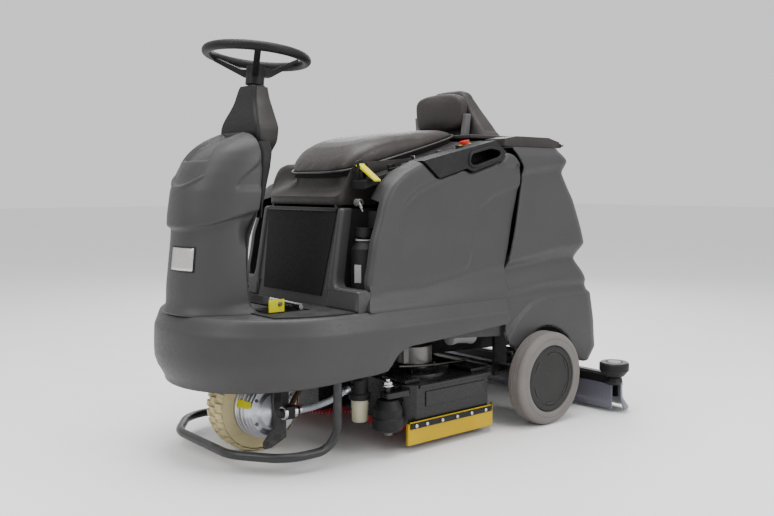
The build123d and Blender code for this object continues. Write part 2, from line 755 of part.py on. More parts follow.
with BuildPart() as rear_tank:
    with BuildSketch(side_plane(tank_half)):
        add(polygon(tank_front + tank_rear + tank_skirt))
    extrude(amount=2 * tank_half)
    with BuildSketch(Plane.XY):
        add(tank_plan(0))
    extrude(amount=1000, mode=Mode.INTERSECT)
    with BuildSketch(Plane.XY):
        add(tank_plan(skirt_wall))
    extrude(amount=tank_floor_z, mode=Mode.SUBTRACT)
    with BuildSketch(side_plane(tank_half - tank_wall)):
        add(polygon([(-246, tank_floor_z + tank_wall), (-243, 508), (-274, 613), (-302, 714),
                     (-322, 795), (-318, 845), (-290, 882), (-280, tank_top_z - 5),
                     (-520, tank_top_z - 5), (-564, 864), (-556, 822), (-612, 733), (-666, 582),
                     (-634, 530), (-668, tank_floor_z + tank_wall)]))
    extrude(amount=2 * (tank_half - tank_wall), mode=Mode.SUBTRACT)
    with BuildSketch(Plane.XY.offset(tank_top_z - 10)):
        with Locations((-480, 0)):
            RectangleRounded(70, 300, 20)
    extrude(amount=20, mode=Mode.SUBTRACT)
    for side in (1, -1):
        with BuildSketch(side_plane(side * lid_ear_y + lid_ear_thick / 2)):
            add(polygon([(-528, 880), (-530, 924), (-548, 926), (-554, 912), (-551, 872)]))
        extrude(amount=lid_ear_thick)
        with BuildSketch(side_plane(side * lid_ear_y + lid_ear_thick / 2 + 1)):
            with Locations((lid_pin_x, lid_pin_z)):
                Circle(lid_pin + run_fit)
        extrude(amount=lid_ear_thick + 2, mode=Mode.SUBTRACT)
pieces["rear_tank"] = rear_tank

lid_front_x = -264.0
lid_top = 940.0
notch_half = 214.0
with BuildPart() as tank_lid:
    with BuildSketch(Plane.XY.offset(lid_z)):
        with Locations(((lid_pin_x + lid_front_x) / 2, 0)):
            RectangleRounded(lid_front_x - lid_pin_x, 2 * lid_half, 6)
        with Locations((-350, 0)):
            Rectangle(172, 2 * notch_half, mode=Mode.SUBTRACT)
    extrude(amount=lid_top - lid_z)
    with BuildSketch(side_plane(lid_half)):
        with Locations((lid_pin_x, lid_pin_z)):
            Circle(lid_barrel)
    extrude(amount=2 * lid_half)
    with BuildSketch(side_plane(lid_half + 12)):
        with Locations((lid_pin_x, lid_pin_z)):
            Circle(lid_pin)
    extrude(amount=2 * lid_half + 24)
    with BuildSketch(side_plane(lid_half)):
        add(polygon([(-262, 930), (-262, 942), (-330, 942)]))
        add(polygon([(lid_pin_x - 8, 924), (lid_pin_x - 8, 942), (-470, 942)]))
    extrude(amount=2 * lid_half, mode=Mode.SUBTRACT)
    with BuildSketch(Plane.XY.offset(lid_z)):
        with Locations((-485, 0)):
            Rectangle(80, 2 * lid_half - 24)
    extrude(amount=16, mode=Mode.SUBTRACT)
pieces["tank_lid"] = tank_lid

# ================= seat =================
pan_profile = [(312, 728), (309, 750), (294, 790), (282, 806), (-215, 938), (-215, 948), (-428, 948),
               (-428, 934), (-221, 934), (-221, 722), (300, 722), (308, 724)]
cushion_low = [(272, 812.5), (-210, 940.5)]
cushion_high = [(-214, 962), (-140, 968), (-40, 958), (80, 945), (180, 925), (232, 900),
                (266, 862), (278, 830)]
with BuildPart() as seat_pan:
    with BuildSketch(side_plane(seat_half)):
        add(polygon(pan_profile))
    extrude(amount=2 * seat_half)
    with BuildSketch(side_plane(seat_half - wall)):
        add(polygon([(280, 720), (280, 782), (262, 800), (-216, 927), (-216, 720)]))
    extrude(amount=2 * (seat_half - wall), mode=Mode.SUBTRACT)
    for side in (1, -1):
        with BuildSketch(Plane.XY.offset(box_top_z - 40)):
            with Locations((pin_x - 6, side * (ear_y + 2))):
                Rectangle(46, 2 * ear_thick + 6)
        extrude(amount=pin_z + 16 - box_top_z + 40, mode=Mode.SUBTRACT)
    with BuildSketch(side_plane(ear_y + ear_thick / 2 + 3)):
        with Locations((pin_x, pin_z)):
            Circle(pin_radius)
    extrude(amount=2 * ear_y + ear_thick + 6)
pieces["seat_pan"] = seat_pan

cushion_half = 182.0
cushion_corner = 110.0
cushion_front_x = 278.0
cushion_rear_x = -214.0
with BuildPart() as seat_cushion:
    with BuildSketch(side_plane(cushion_half)):
        add(polygon(cushion_low + cushion_high))
    extrude(amount=2 * cushion_half)
    with BuildSketch(Plane.XY.offset(700)):
        with BuildLine():
            FilletPolyline((cushion_rear_x, cushion_half), (cushion_front_x, cushion_half),
                           (cushion_front_x, -cushion_half), (cushion_rear_x, -cushion_half),
                           radius=cushion_corner)
            Line((cushion_rear_x, -cushion_half), (cushion_rear_x, cushion_half))
        make_face()
    extrude(amount=400, mode=Mode.INTERSECT)
pieces["seat_cushion"] = seat_cushion

pad_front_x = -246.0
pad_thick = 44.0
with BuildPart() as backrest_pad:
    with BuildSketch(Plane(origin=(pad_front_x, 0, 0), x_dir=(0, 1, 0), z_dir=(1, 0, 0))):
        with BuildLine():
            FilletPolyline((-104, 970), (104, 970), (116, 1092), (-116, 1092), close=True,
                           radius=[20, 20, 45, 45])
        make_face()
    extrude(amount=-pad_thick)
pieces["backrest_pad"] = backrest_pad

cowl_levels = [(948.5, -405, -292, 176), (985, -396, -292, 152), (1020, -384, -292, 124),
               (1060, -366, -294, 100), (1088, -350, -296, 82), (1101, -336, -304, 60)]
cowl_corner = 14.0
with BuildPart() as backrest_cowl:
    for z, rear, front, half in cowl_levels:
        with BuildSketch(Plane.XY.offset(z)):
            with Locations(((rear + front) / 2, 0)):
                RectangleRounded(front - rear, 2 * half, cowl_corner)
    loft()
    for z, rear, front, half in cowl_levels[:-1]:
        with BuildSketch(Plane.XY.offset(z)):
            with Locations(((rear + front) / 2, 0)):
                RectangleRounded(front - rear - 2 * wall, 2 * (half - wall), cowl_corner - wall)
    loft(mode=Mode.SUBTRACT)
pieces["backrest_cowl"] = backrest_cowl

# ================= inside the seat box =================
battery_x = 105.0
battery_size = (360.0, 340.0, 250.0)
terminal_pitch = (300.0, 280.0)
with BuildPart() as battery_pack:
    with BuildSketch(Plane.XY.offset(floor_z)):
        with Locations((battery_x, 0)):
            Rectangle(battery_size[0], battery_size[1])
    extrude(amount=battery_size[2])
    with BuildSketch(Plane.XY.offset(floor_z + battery_size[2])):
        with GridLocations(*terminal_pitch, 2, 2):
            with Locations((battery_x, 0)):
                Circle(12)
    extrude(amount=18)
pieces["battery_pack"] = battery_pack
pieces["vacuum_motor"] = upright([(0, floor_z), (75, floor_z), (75, 520), (60, 530), (60, 600), (20, 612),
                                  (20, 640), (0, 640)], -150, 0)

# ================= scrub deck =================
deck_wall = 6.0
skirt_depth = 56.0
ear_low = 170.0
ear_high = 186.0
roller_bolt = 8.0
brush_spindle = 8.0
lift_x = 30.0
lift_tube_z = 270.0
lift_tube_radius = 24.0
rod_radius = 10.0
rod_length = 124.0
motor_can = 58.0
deck_shift = 90.0
roller_x_deck = 228.0
roller_y_deck = 308.0
left_deck = (-212.0, 168.0)


def deck_plan(side, shift):
    """Half of the deck from above, with its rear outer corner cut off for the blade."""
    rear, front = left_deck[0] + shift, left_deck[1] + shift
    return polygon([(rear, -side * 4), (rear, side * (deck_half - 50)), (rear + 50, side * deck_half),
                    (front - 30, side * deck_half), (front, side * (deck_half - 30)), (front, -side * 4)])


with BuildPart() as deck_housing:
    with BuildSketch(Plane.XY.offset(deck_bottom_z)):
        add(deck_plan(1, 0))
        add(deck_plan(-1, deck_shift))
    extrude(amount=deck_top_z - deck_bottom_z)
    for x, y in (left_brush, right_brush):
        with BuildSketch(Plane.XY.offset(deck_bottom_z)):
            with Locations((x, y)):
                Circle(brush_radius - 20)
        extrude(amount=deck_top_z - deck_bottom_z - deck_wall, mode=Mode.SUBTRACT)
    with BuildSketch(Plane.XY.offset(deck_bottom_z)):
        with Locations(left_brush, right_brush):
            Circle(brush_radius + 5)
    extrude(amount=skirt_depth, mode=Mode.SUBTRACT)
    with BuildSketch(Plane.XY.offset(deck_top_z - deck_wall)):
        with Locations(left_brush, right_brush):
            Circle(12)
    extrude(amount=deck_wall, mode=Mode.SUBTRACT)
    with BuildSketch(Plane.XY.offset(deck_top_z)):
        with Locations((lift_x, 0)):
            Circle(rod_radius)
    extrude(amount=rod_length)
    # front ear and bolt for the guide roller
    for side, shift in ((1, 0), (-1, deck_shift)):
        with BuildSketch(Plane.XY.offset(ear_low)):
            with Locations((roller_x_deck - 26 + shift, side * roller_y_deck)):
                RectangleRounded(84, 44, 10)
        extrude(amount=ear_high - ear_low)
        with BuildSketch(Plane.XY.offset(62)):
            with Locations((roller_x_deck + shift, side * roller_y_deck)):
                Circle(roller_bolt)
        extrude(amount=146)
pieces["deck_housing"] = deck_housing

with BuildPart() as brush_motors:
    for x, y in (left_brush, right_brush):
        add(upright([(0, 96), (brush_spindle, 96), (brush_spindle, deck_top_z), (motor_can, deck_top_z),
                     (motor_can, 280), (48, 290), (0, 290)], x, y).part)
pieces["brush_motors"] = brush_motors

with BuildPart() as deck_actuator:
    with BuildSketch(Plane.XY.offset(lift_tube_z)):
        with Locations((lift_x, 0)):
            Circle(lift_tube_radius)
            Circle(rod_radius + run_fit, mode=Mode.SUBTRACT)
    extrude(amount=rail_bottom - lift_tube_z)
pieces["deck_actuator"] = deck_actuator


def brush(place):
    """A disc brush: a drive disc with a flared ring of bristles."""
    tip = brush_bottom_z
    bore = brush_spindle + run_fit
    return upright([(bore, 98), (bore, 126), (30, 126), (30, 116), (brush_radius - 12, 116),
                    (brush_radius - 8, 100), (brush_radius, tip), (85, tip), (80, 98)], *place)


pieces["brush_left"] = brush(left_brush)
pieces["brush_right"] = brush(right_brush)

roller_radius = 46.0
roller_low = 76.0
roller_high = 164.0


def guide_roller(x, y):
    """A guide roller on its upright bolt."""
    bore = roller_bolt + run_fit
    return upright([(bore, roller_low), (roller_radius - 6, roller_low), (roller_radius, roller_low + 6),
                    (roller_radius, 112), (roller_radius - 4, 116), (roller_radius - 4, 140),
                    (30, roller_high), (bore, roller_high)], x, y)


pieces["deck_roller_left"] = guide_roller(roller_x_deck, roller_y_deck)
pieces["deck_roller_right"] = guide_roller(roller_x_deck + deck_shift, -roller_y_deck)

blade_front = 178.0
blade_rear = blade_front - blade_length
blade_bend = 36.0


def side_blade(side, shift):
    """A rubber side blade, its rear end bent inwards, clamped to the deck's wall."""
    inner = deck_half + 0.5
    front, rear = blade_front + shift, blade_rear + shift
    with BuildPart() as piece:
        with BuildSketch(Plane.XY.offset(blade_bottom_z)):
            with BuildLine():
                Polyline((front, side * inner), (front, side * blade_y), (rear, side * blade_y),
                         (rear - blade_bend, side * (blade_y - blade_bend)),
                         (rear - blade_bend + 6, side * (blade_y - blade_bend - 6)),
                         (rear + 4, side * inner), close=True)
            make_face()
        extrude(amount=62)
    return piece


pieces["side_squeegee_left"] = side_blade(1, 0)
pieces["side_squeegee_right"] = side_blade(-1, deck_shift)

# ================= rear squeegee =================
arm_y = bracket_y - hanger_thick - 4
arm_plate = 10.0
bar_low = 96.0
bar_high = 128.0
bar_front = -667.0
bar_rear = -712.0
lip_low = 50.0
spigot_x = -690.0
spigot_bore = 22.0
spigot_outer = 26.0
end_bolt = 8.0
with BuildPart() as squeegee_arm:
    for side in (1, -1):
        with BuildSketch(side_plane(side * arm_y + arm_plate / 2)):
            add(polygon([(squeegee_pivot_x + 14, squeegee_pivot_z + 14),
                         (squeegee_pivot_x + 14, squeegee_pivot_z - 18),
                         (bar_front + 15, bar_high), (bar_rear + 10, bar_high),
                         (bar_rear + 10, bar_high + 12), (bar_front - 2, bar_high + 22),
                         (squeegee_pivot_x - 12, squeegee_pivot_z + 14)]))
        extrude(amount=arm_plate)
    with BuildSketch(side_plane(arm_y)):
        with Locations((-645, 160)):
            Circle(8)
    extrude(amount=2 * arm_y)
    with BuildSketch(side_plane(arm_y + 20)):
        with Locations((squeegee_pivot_x, squeegee_pivot_z)):
            Circle(squeegee_pin + run_fit)
    extrude(amount=2 * arm_y + 40, mode=Mode.SUBTRACT)
pieces["squeegee_arm"] = squeegee_arm

roller_x = -676.0
roller_y = squeegee_half - 22
with BuildPart() as squeegee_body:
    with BuildSketch(Plane.XY.offset(bar_low)):
        with Locations(((bar_front + bar_rear) / 2, 0)):
            Rectangle(bar_front - bar_rear, 2 * squeegee_half - 30)
    extrude(amount=bar_high - bar_low)
    with BuildSketch(Plane.XY.offset(lip_low)):
        with Locations((bar_front - 6, 0), (bar_rear + 6, 0)):
            Rectangle(12, 2 * squeegee_half - 60)
    extrude(amount=bar_low - lip_low)
    with BuildSketch(Plane.XY.offset(bar_high)):
        with Locations((spigot_x, 0)):
            Circle(spigot_outer)
    extrude(amount=26)
    with BuildSketch(Plane.XY.offset(bar_low)):
        with Locations((spigot_x, 0)):
            Circle(spigot_bore)
    extrude(amount=80, mode=Mode.SUBTRACT)
    with BuildSketch(Plane.XY.offset(bar_high)):
        with Locations((roller_x, roller_y), (roller_x, -roller_y)):
            Circle(end_bolt)
    extrude(amount=50)
pieces["squeegee_body"] = squeegee_body


def end_roller(side):
    """A bumper roller on the end of the squeegee."""
    bore = end_bolt + run_fit
    return upright([(bore, bar_high + 2), (34, bar_high + 2), (50, bar_high + 22),
                    (50, bar_high + 44), (46, bar_high + 48), (bore, bar_high + 48)],
                   roller_x, side * roller_y)


pieces["squeegee_roller_left"] = end_roller(1)
pieces["squeegee_roller_right"] = end_roller(-1)

with BuildPart() as squeegee_blades:
    with BuildSketch(side_plane(squeegee_half)):
        add(polygon([(bar_rear, 52), (bar_rear, 118), (bar_rear - 5, 118), (bar_rear - 10, 52), (-765, 12),
                     (-759, 10), (bar_rear - 4, 48)]))
    extrude(amount=2 * squeegee_half)
    with BuildSketch(side_plane(squeegee_half - 20)):
        add(polygon([(bar_front, 100), (bar_front + 5, 100), (bar_front + 5, 14), (bar_front, 14)]))
    extrude(amount=2 * squeegee_half - 40)
pieces["squeegee_blades"] = squeegee_blades

# ================= water valve, filter and the hose between them =================
hose_radius = 9.0
spigot_radius = 7.0
valve_x = 500.0
valve_y = 203.0
valve_z = 152.0
valve_half_height = 17.0
filter_x = 270.0
filter_y = 230.0
filter_arm_z = 204.0
clamp_thick = 1.8
clamp_width = 10.0
plate_y = rail_y + rail_width / 2
hose_route = [(valve_x - 24, valve_y, valve_z), (430, 206, 152), (368, 214, 163), (filter_x + 34, 224, 193)]


def spigot(end, towards, length):
    """A hose tail that ends face to face with the hose."""
    with BuildPart() as piece:
        with BuildSketch(Plane(origin=end, z_dir=Vector(*end) - Vector(*towards))):
            Circle(spigot_radius)
        extrude(amount=length)
    return piece


with BuildPart() as valve_block:
    with BuildSketch(Plane.XY.offset(valve_z - valve_half_height)):
        with Locations((valve_x, valve_y)):
            Rectangle(30, 26)
    extrude(amount=2 * valve_half_height)
    with BuildSketch(Plane.XY.offset(valve_z - valve_half_height)):
        with Locations((valve_x + 4, plate_y + 2)):
            Rectangle(22, 4)
    extrude(amount=rail_top - 8 - valve_z + valve_half_height)
    add(spigot(hose_route[0], hose_route[1], 16).part)
pieces["valve_block"] = valve_block

with BuildPart() as filter_head:
    add(upright([(0, 176.5), (25, 176.5), (25, 216), (14, 232), (0, 232)], filter_x, filter_y).part)
    with BuildSketch(Plane.XY.offset(filter_arm_z)):
        with Locations((filter_x, (plate_y + filter_y) / 2)):
            Rectangle(30, filter_y - plate_y)
    extrude(amount=20)
    with BuildSketch(Plane.XY.offset(filter_arm_z)):
        with Locations((filter_x, plate_y + 2)):
            Rectangle(44, 4)
    extrude(amount=rail_top - 8 - filter_arm_z)
    add(spigot(hose_route[-1], hose_route[-2], 16).part)
pieces["filter_head"] = filter_head
pieces["filter_bowl"] = upright([(0, 92), (22, 92), (24, 96), (26, 158), (30, 160), (30, 176), (23, 176),
                                 (23, 160), (20, 97), (0, 97)], filter_x, filter_y)


def bend_radii(route):
    """A bend for each inner point of a route, as large as its two runs allow."""
    radii = []
    for before, here, after in zip(route, route[1:], route[2:]):
        run_in = Vector(*here) - Vector(*before)
        run_out = Vector(*after) - Vector(*here)
        turn = radians(run_in.get_angle(run_out))
        radii.append(0.45 * min(run_in.length, run_out.length) / tan(turn / 2))
    return radii


hose_bends = bend_radii(hose_route)
print("hose bend radii", [round(r) for r in hose_bends])
with BuildPart() as supply_hose:
    with BuildLine() as hose_line:
        FilletPolyline(*hose_route, radius=hose_bends)
    with BuildSketch(Plane(origin=hose_line.line @ 0, z_dir=hose_line.line % 0)):
        Circle(hose_radius)
    sweep()
print("hose length", round(sum(edge.length for edge in hose_line.edges()), 1))
pieces["supply_hose"] = supply_hose

with BuildPart() as hose_clamps:
    for place in (0.06, 0.93):
        with BuildSketch(Plane(origin=hose_line.line @ place, z_dir=hose_line.line % place)):
            Circle(hose_radius + clamp_thick)
            Circle(hose_radius, mode=Mode.SUBTRACT)
        extrude(amount=clamp_width / 2, both=True)
pieces["hose_clamps"] = hose_clamps

# ================= pedals =================
pedal_pin_x = 450.0
pedal_pin_z = 441.0
pedal_inner = 68.0
pedal_outer = 196.0
pedal_tip_x = 548.0
pedal_tip_z = 472.0
pedal_pin = 4.0
ear_inset = 20.0
latch_pin_x = 525.0
latch_pin_z = 458.0
latch_pin = 4.0
latch_thick = 4.0
latch_gap = 0.5
bracket_thick = 2.6
latch_face_y = pedal_outer + 3 + latch_gap + latch_thick
with BuildPart() as drive_pedal:
    with BuildSketch(side_plane(pedal_outer)):
        with Locations((pedal_pin_x, pedal_pin_z)):
            Circle(7)
        add(polygon([(pedal_pin_x - 2, pedal_pin_z + 5), (pedal_tip_x, pedal_tip_z),
                     (pedal_tip_x + 4, pedal_tip_z - 16), (pedal_tip_x + 8, pedal_tip_z - 14),
                     (pedal_tip_x + 4, pedal_tip_z + 6), (pedal_pin_x - 4, pedal_pin_z + 9.5)]))
    extrude(amount=pedal_outer - pedal_inner)
    for y in (pedal_inner + ear_inset, pedal_outer - ear_inset):
        with BuildSketch(side_plane(y + 5)):
            with Locations((pedal_pin_x, pedal_pin_z)):
                Rectangle(24, 24)
        extrude(amount=10, mode=Mode.SUBTRACT)
    with BuildSketch(side_plane(pedal_outer)):
        with Locations((pedal_pin_x, pedal_pin_z)):
            Circle(pedal_pin)
    extrude(amount=pedal_outer - pedal_inner)
pieces["drive_pedal"] = drive_pedal
with BuildPart() as pedal_bracket:
    for y in (pedal_inner + ear_inset, pedal_outer - ear_inset):
        with BuildSketch(side_plane(y + 4)):
            with Locations((pedal_pin_x, (floor_z + pedal_pin_z + 7) / 2)):
                Rectangle(20, pedal_pin_z + 7 - floor_z)
        extrude(amount=8)
        with BuildSketch(side_plane(y + 5)):
            with Locations((pedal_pin_x, pedal_pin_z)):
                Circle(pedal_pin + run_fit)
        extrude(amount=10, mode=Mode.SUBTRACT)
    with BuildSketch(Plane.XY.offset(floor_z)):
        with Locations((490, (pedal_inner + 10 + pedal_outer + 3) / 2)):
            Rectangle(110, pedal_outer + 3 - pedal_inner - 10)
    extrude(amount=2)
    with BuildSketch(side_plane(pedal_outer + 3)):
        add(polygon([(510, floor_z), (545, floor_z), (536, 468), (514, 468)]))
        with Locations((latch_pin_x, latch_pin_z)):
            Circle(latch_pin + run_fit, mode=Mode.SUBTRACT)
    extrude(amount=bracket_thick)
pieces["pedal_bracket"] = pedal_bracket

with BuildPart() as pedal_latch:
    with BuildSketch(side_plane(latch_face_y)):
        add(polygon([(511, floor_z + 6), (559, floor_z + 6), (559, 470), (511, 470)]))
    extrude(amount=latch_thick)
    with BuildSketch(side_plane(latch_face_y)):
        with Locations((latch_pin_x, latch_pin_z)):
            Circle(latch_pin)
    extrude(amount=latch_gap + latch_thick + bracket_thick - 0.1)
pieces["pedal_latch"] = pedal_latch

for name, piece in pieces.items():
    piece.part.label = name
    export_step(piece.part, f"parts/{name}.step")
print(len(pieces), "pieces")
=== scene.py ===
"""Looks of a ride-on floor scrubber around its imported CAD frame. Shapes are written in millimetres."""
import math
import random

import bmesh
import bpy
import numpy as np
from mathutils import Matrix, Vector
from mathutils.geometry import delaunay_2d_cdt


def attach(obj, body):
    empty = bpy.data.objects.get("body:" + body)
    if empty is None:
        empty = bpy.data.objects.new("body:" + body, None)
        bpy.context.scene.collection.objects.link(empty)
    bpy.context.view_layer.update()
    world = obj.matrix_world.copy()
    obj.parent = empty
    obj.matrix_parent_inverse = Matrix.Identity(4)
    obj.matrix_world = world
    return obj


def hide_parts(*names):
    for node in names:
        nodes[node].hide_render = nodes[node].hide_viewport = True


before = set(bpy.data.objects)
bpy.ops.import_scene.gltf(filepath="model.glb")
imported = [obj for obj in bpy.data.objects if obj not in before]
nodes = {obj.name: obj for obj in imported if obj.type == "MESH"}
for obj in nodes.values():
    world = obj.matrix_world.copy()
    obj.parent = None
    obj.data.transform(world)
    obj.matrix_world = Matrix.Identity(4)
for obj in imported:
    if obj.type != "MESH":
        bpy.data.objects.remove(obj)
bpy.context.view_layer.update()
MM = 0.001
SIDES = ((1, "left"), (-1, "right"))  # the sign of Y on each side of the machine

# ---------------------------------------------------------------- camera
EYE, AIM = (1797.3, 2190.3, 777.6), (-2.9, 26.7, 544.5)
SENSOR, LENS = 36.0, 40.11
camera = bpy.data.objects.new("camera", bpy.data.cameras.new("camera"))
bpy.context.scene.collection.objects.link(camera)
camera.data.sensor_width = SENSOR
camera.data.lens = LENS
camera.location = Vector(EYE) * MM
camera.rotation_euler = (Vector(AIM) * MM - camera.location).to_track_quat("-Z", "Y").to_euler()
camera.data.clip_start = 0.05
bpy.context.scene.camera = camera


# ---------------------------------------------------------------- materials
def new_material(name):
    """An empty node material, with its tree and its shader."""
    mat = bpy.data.materials.new(name)
    mat.use_nodes = True
    tree = mat.node_tree
    tree.nodes.clear()
    output = tree.nodes.new("ShaderNodeOutputMaterial")
    shader = tree.nodes.new("ShaderNodeBsdfPrincipled")
    tree.links.new(shader.outputs[0], output.inputs[0])
    return mat, tree, shader


def add_node(tree, kind, **values):
    """A node with its inputs or properties set by name."""
    node = tree.nodes.new(kind)
    for key, value in values.items():
        if key in node.inputs:
            node.inputs[key].default_value = value
        else:
            setattr(node, key, value)
    return node


def noise(tree, coords, scale, detail=3.0, stretch=None):
    """A noise texture on object coordinates, squeezed along an axis if asked."""
    where = coords
    if stretch:
        mapping = add_node(tree, "ShaderNodeMapping")
        mapping.inputs["Scale"].default_value = stretch
        tree.links.new(coords, mapping.inputs["Vector"])
        where = mapping.outputs[0]
    made = add_node(tree, "ShaderNodeTexNoise", Scale=scale, Detail=detail)
    tree.links.new(where, made.inputs["Vector"])
    return made.outputs[0]


def ramp(tree, value, low, high, out_low, out_high):
    """A clamped remap of a value."""
    node = tree.nodes.new("ShaderNodeMapRange")
    for index, number in ((1, low), (2, high), (3, out_low), (4, out_high)):
        node.inputs[index].default_value = number
    tree.links.new(value, node.inputs[0])
    return node.outputs[0]


def mix_colour(tree, share, a, b):
    """A mix of two colours, each a colour or a socket."""
    node = tree.nodes.new("ShaderNodeMix")
    node.data_type = "RGBA"
    for socket, value in ((node.inputs[6], a), (node.inputs[7], b)):
        if isinstance(value, bpy.types.NodeSocket):
            tree.links.new(value, socket)
        else:
            socket.default_value = (*value, 1.0)
    if isinstance(share, bpy.types.NodeSocket):
        tree.links.new(share, node.inputs[0])
    else:
        node.inputs[0].default_value = share
    return node.outputs[2]


def product(tree, a, b):
    """Two values multiplied."""
    node = add_node(tree, "ShaderNodeMath", operation="MULTIPLY")
    tree.links.new(a, node.inputs[0])
    tree.links.new(b, node.inputs[1])
    return node.outputs[0]


def surface(name, colour, rough=0.5, metal=0.0, spec=0.4, vary=0.12, grain=900.0, bump=0.06, depth=0.0004,
            streak=None, wear=0.0, wear_colour=None, edge=0.0015, pattern=None, pattern_bump=0.3,
            pattern_dark=0.0, sheen=0.0, alpha=1.0, dust=0.10):
    """A finish: colour that varies, a fine grain, soft edges, worn corners and a trace of dust on top faces."""
    mat, tree, shader = new_material(name)
    links = tree.links
    coords = add_node(tree, "ShaderNodeTexCoord").outputs["Object"]
    dark = [c * (1 - vary) for c in colour]
    light = [min(1.0, c * (1 + vary)) for c in colour]
    cloud = noise(tree, coords, 7.0, 4.0)
    base = mix_colour(tree, ramp(tree, cloud, 0.3, 0.7, 0.0, 1.0), dark, light)
    speck = noise(tree, coords, grain * 0.45, 2.0)
    base = mix_colour(tree, ramp(tree, speck, 0.35, 0.75, 0.0, 0.25), base, [c * 0.7 for c in colour])
    if dust:
        geometry = add_node(tree, "ShaderNodeNewGeometry")
        upward = add_node(tree, "ShaderNodeSeparateXYZ")
        links.new(geometry.outputs["Normal"], upward.inputs[0])
        patch = noise(tree, coords, 23.0, 5.0)
        share = product(tree, ramp(tree, upward.outputs[2], 0.4, 1.0, 0.0, dust),
                        ramp(tree, patch, 0.35, 0.7, 0.2, 1.0))
        base = mix_colour(tree, share, base, [0.5 + 0.5 * c for c in colour])
    if wear:
        point = add_node(tree, "ShaderNodeNewGeometry").outputs["Pointiness"]
        rough_edge = noise(tree, coords, 60.0, 6.0)
        both = product(tree, ramp(tree, point, 0.52, 0.6, 0.0, 1.0),
                       ramp(tree, rough_edge, 0.45, 0.7, 0.0, wear))
        base = mix_colour(tree, both, base, wear_colour or [min(1, c * 2 + 0.1) for c in colour])
    fine = noise(tree, coords, grain, 3.0)
    scratch = noise(tree, coords, 120.0, 6.0, streak)
    height = add_node(tree, "ShaderNodeMath", operation="MULTIPLY_ADD")
    links.new(scratch, height.inputs[0])
    height.inputs[1].default_value = 0.25
    links.new(fine, height.inputs[2])
    soft = None
    if edge:
        soft = add_node(tree, "ShaderNodeBevel", samples=4, Radius=edge).outputs[0]
    bump_node = add_node(tree, "ShaderNodeBump", Strength=bump, Distance=depth)
    links.new(height.outputs[0], bump_node.inputs["Height"])
    if soft:
        links.new(soft, bump_node.inputs["Normal"])
    last = bump_node.outputs[0]
    if pattern:
        shade = pattern(tree, coords)
        if pattern_dark:
            base = mix_colour(tree, ramp(tree, shade, 0.0, 1.0, pattern_dark, 0.0), base,
                              [c * 0.25 for c in colour])
        second = add_node(tree, "ShaderNodeBump", Strength=pattern_bump, Distance=0.001)
        links.new(shade, second.inputs["Height"])
        links.new(last, second.inputs["Normal"])
        last = second.outputs[0]
    links.new(last, shader.inputs["Normal"])
    links.new(base, shader.inputs["Base Color"])
    links.new(ramp(tree, scratch, 0.3, 0.7, max(0.02, rough - 0.07), min(1.0, rough + 0.07)),
              shader.inputs["Roughness"])
    plain = {"Metallic": metal, "Specular IOR Level": spec, "Sheen Weight": sheen, "Alpha": alpha}
    for socket, value in plain.items():
        shader.inputs[socket].default_value = value
    mat.diffuse_color = (*colour, alpha)
    return mat


def weave(scale, axes):
    """Two crossed waves, as on a braid or a fine perforation."""
    def build(tree, coords):
        waves = []
        for axis in axes:
            wave = add_node(tree, "ShaderNodeTexWave", Scale=scale, Distortion=0.3, bands_direction=axis)
            tree.links.new(coords, wave.inputs["Vector"])
            waves.append(wave.outputs[1])
        both = add_node(tree, "ShaderNodeMath", operation="MAXIMUM")
        tree.links.new(waves[0], both.inputs[0])
        tree.links.new(waves[1], both.inputs[1])
        return both.outputs[0]
    return build


def dots(scale):
    """Round dots on a grid, as on perforated vinyl."""
    def build(tree, coords):
        cell = add_node(tree, "ShaderNodeTexVoronoi", Scale=scale, Randomness=0.25)
        tree.links.new(coords, cell.inputs["Vector"])
        return ramp(tree, cell.outputs["Distance"], 0.15, 0.4, 0.0, 1.0)
    return build


def bands(scale, axis):
    """Parallel ribs."""
    def build(tree, coords):
        wave = add_node(tree, "ShaderNodeTexWave", Scale=scale, bands_direction=axis)
        tree.links.new(coords, wave.inputs["Vector"])
        return wave.outputs[1]
    return build


body_grey = surface("body_grey_shell", (0.036, 0.0352, 0.0354), rough=0.48, spec=0.36, bump=0.05, vary=0.07,
                    wear=0.10, wear_colour=(0.13, 0.13, 0.132), dust=0.04)
# painted highlight: a lighter copy of the body grey, so the recess lips read as lit edges
painted_highlight_grey = surface("body_grey_painted_highlight", (0.055, 0.055, 0.056), rough=0.5, spec=0.4, vary=0.1, dust=0.05)
warm_plastic = surface("warm_plastic", (0.028, 0.024, 0.023), rough=0.5, spec=0.3, bump=0.08, wear=0.08,
                       dust=0.02)
black_plastic = surface("black_plastic", (0.0075, 0.0075, 0.008), rough=0.52, spec=0.24, bump=0.08, wear=0.08,
                        dust=0.015)
black_gloss = surface("black_gloss", (0.006, 0.006, 0.0065), rough=0.3, spec=0.35, bump=0.02, dust=0.015)
panel_black = surface("panel_black", (0.0055, 0.0055, 0.0058), rough=0.7, spec=0.22, bump=0.04, dust=0.0)
# painted shade: a near-black finish, darker than the black plastic, for sheets that stand for the shade in gaps
# and hollows
painted_shade_black = surface("painted_shade_black", (0.003, 0.003, 0.003), rough=0.8, spec=0.2, bump=0.05, dust=0.0)
frame_paint = surface("frame_paint", (0.012, 0.012, 0.013), rough=0.38, spec=0.45, bump=0.06, wear=0.35,
                      wear_colour=(0.10, 0.09, 0.08))
steel = surface("plain_steel", (0.52, 0.52, 0.53), rough=0.3, metal=1.0, vary=0.15, bump=0.05, dust=0.0,
                streak=(1.0, 1.0, 0.08))
dark_steel = surface("dark_steel", (0.16, 0.155, 0.15), rough=0.42, metal=1.0, vary=0.2, bump=0.08, dust=0.0)
alloy = surface("cast_alloy", (0.50, 0.51, 0.55), rough=0.34, metal=0.9, vary=0.14, bump=0.18, grain=500,
                dust=0.0,
                streak=(0.3, 1.0, 1.0))
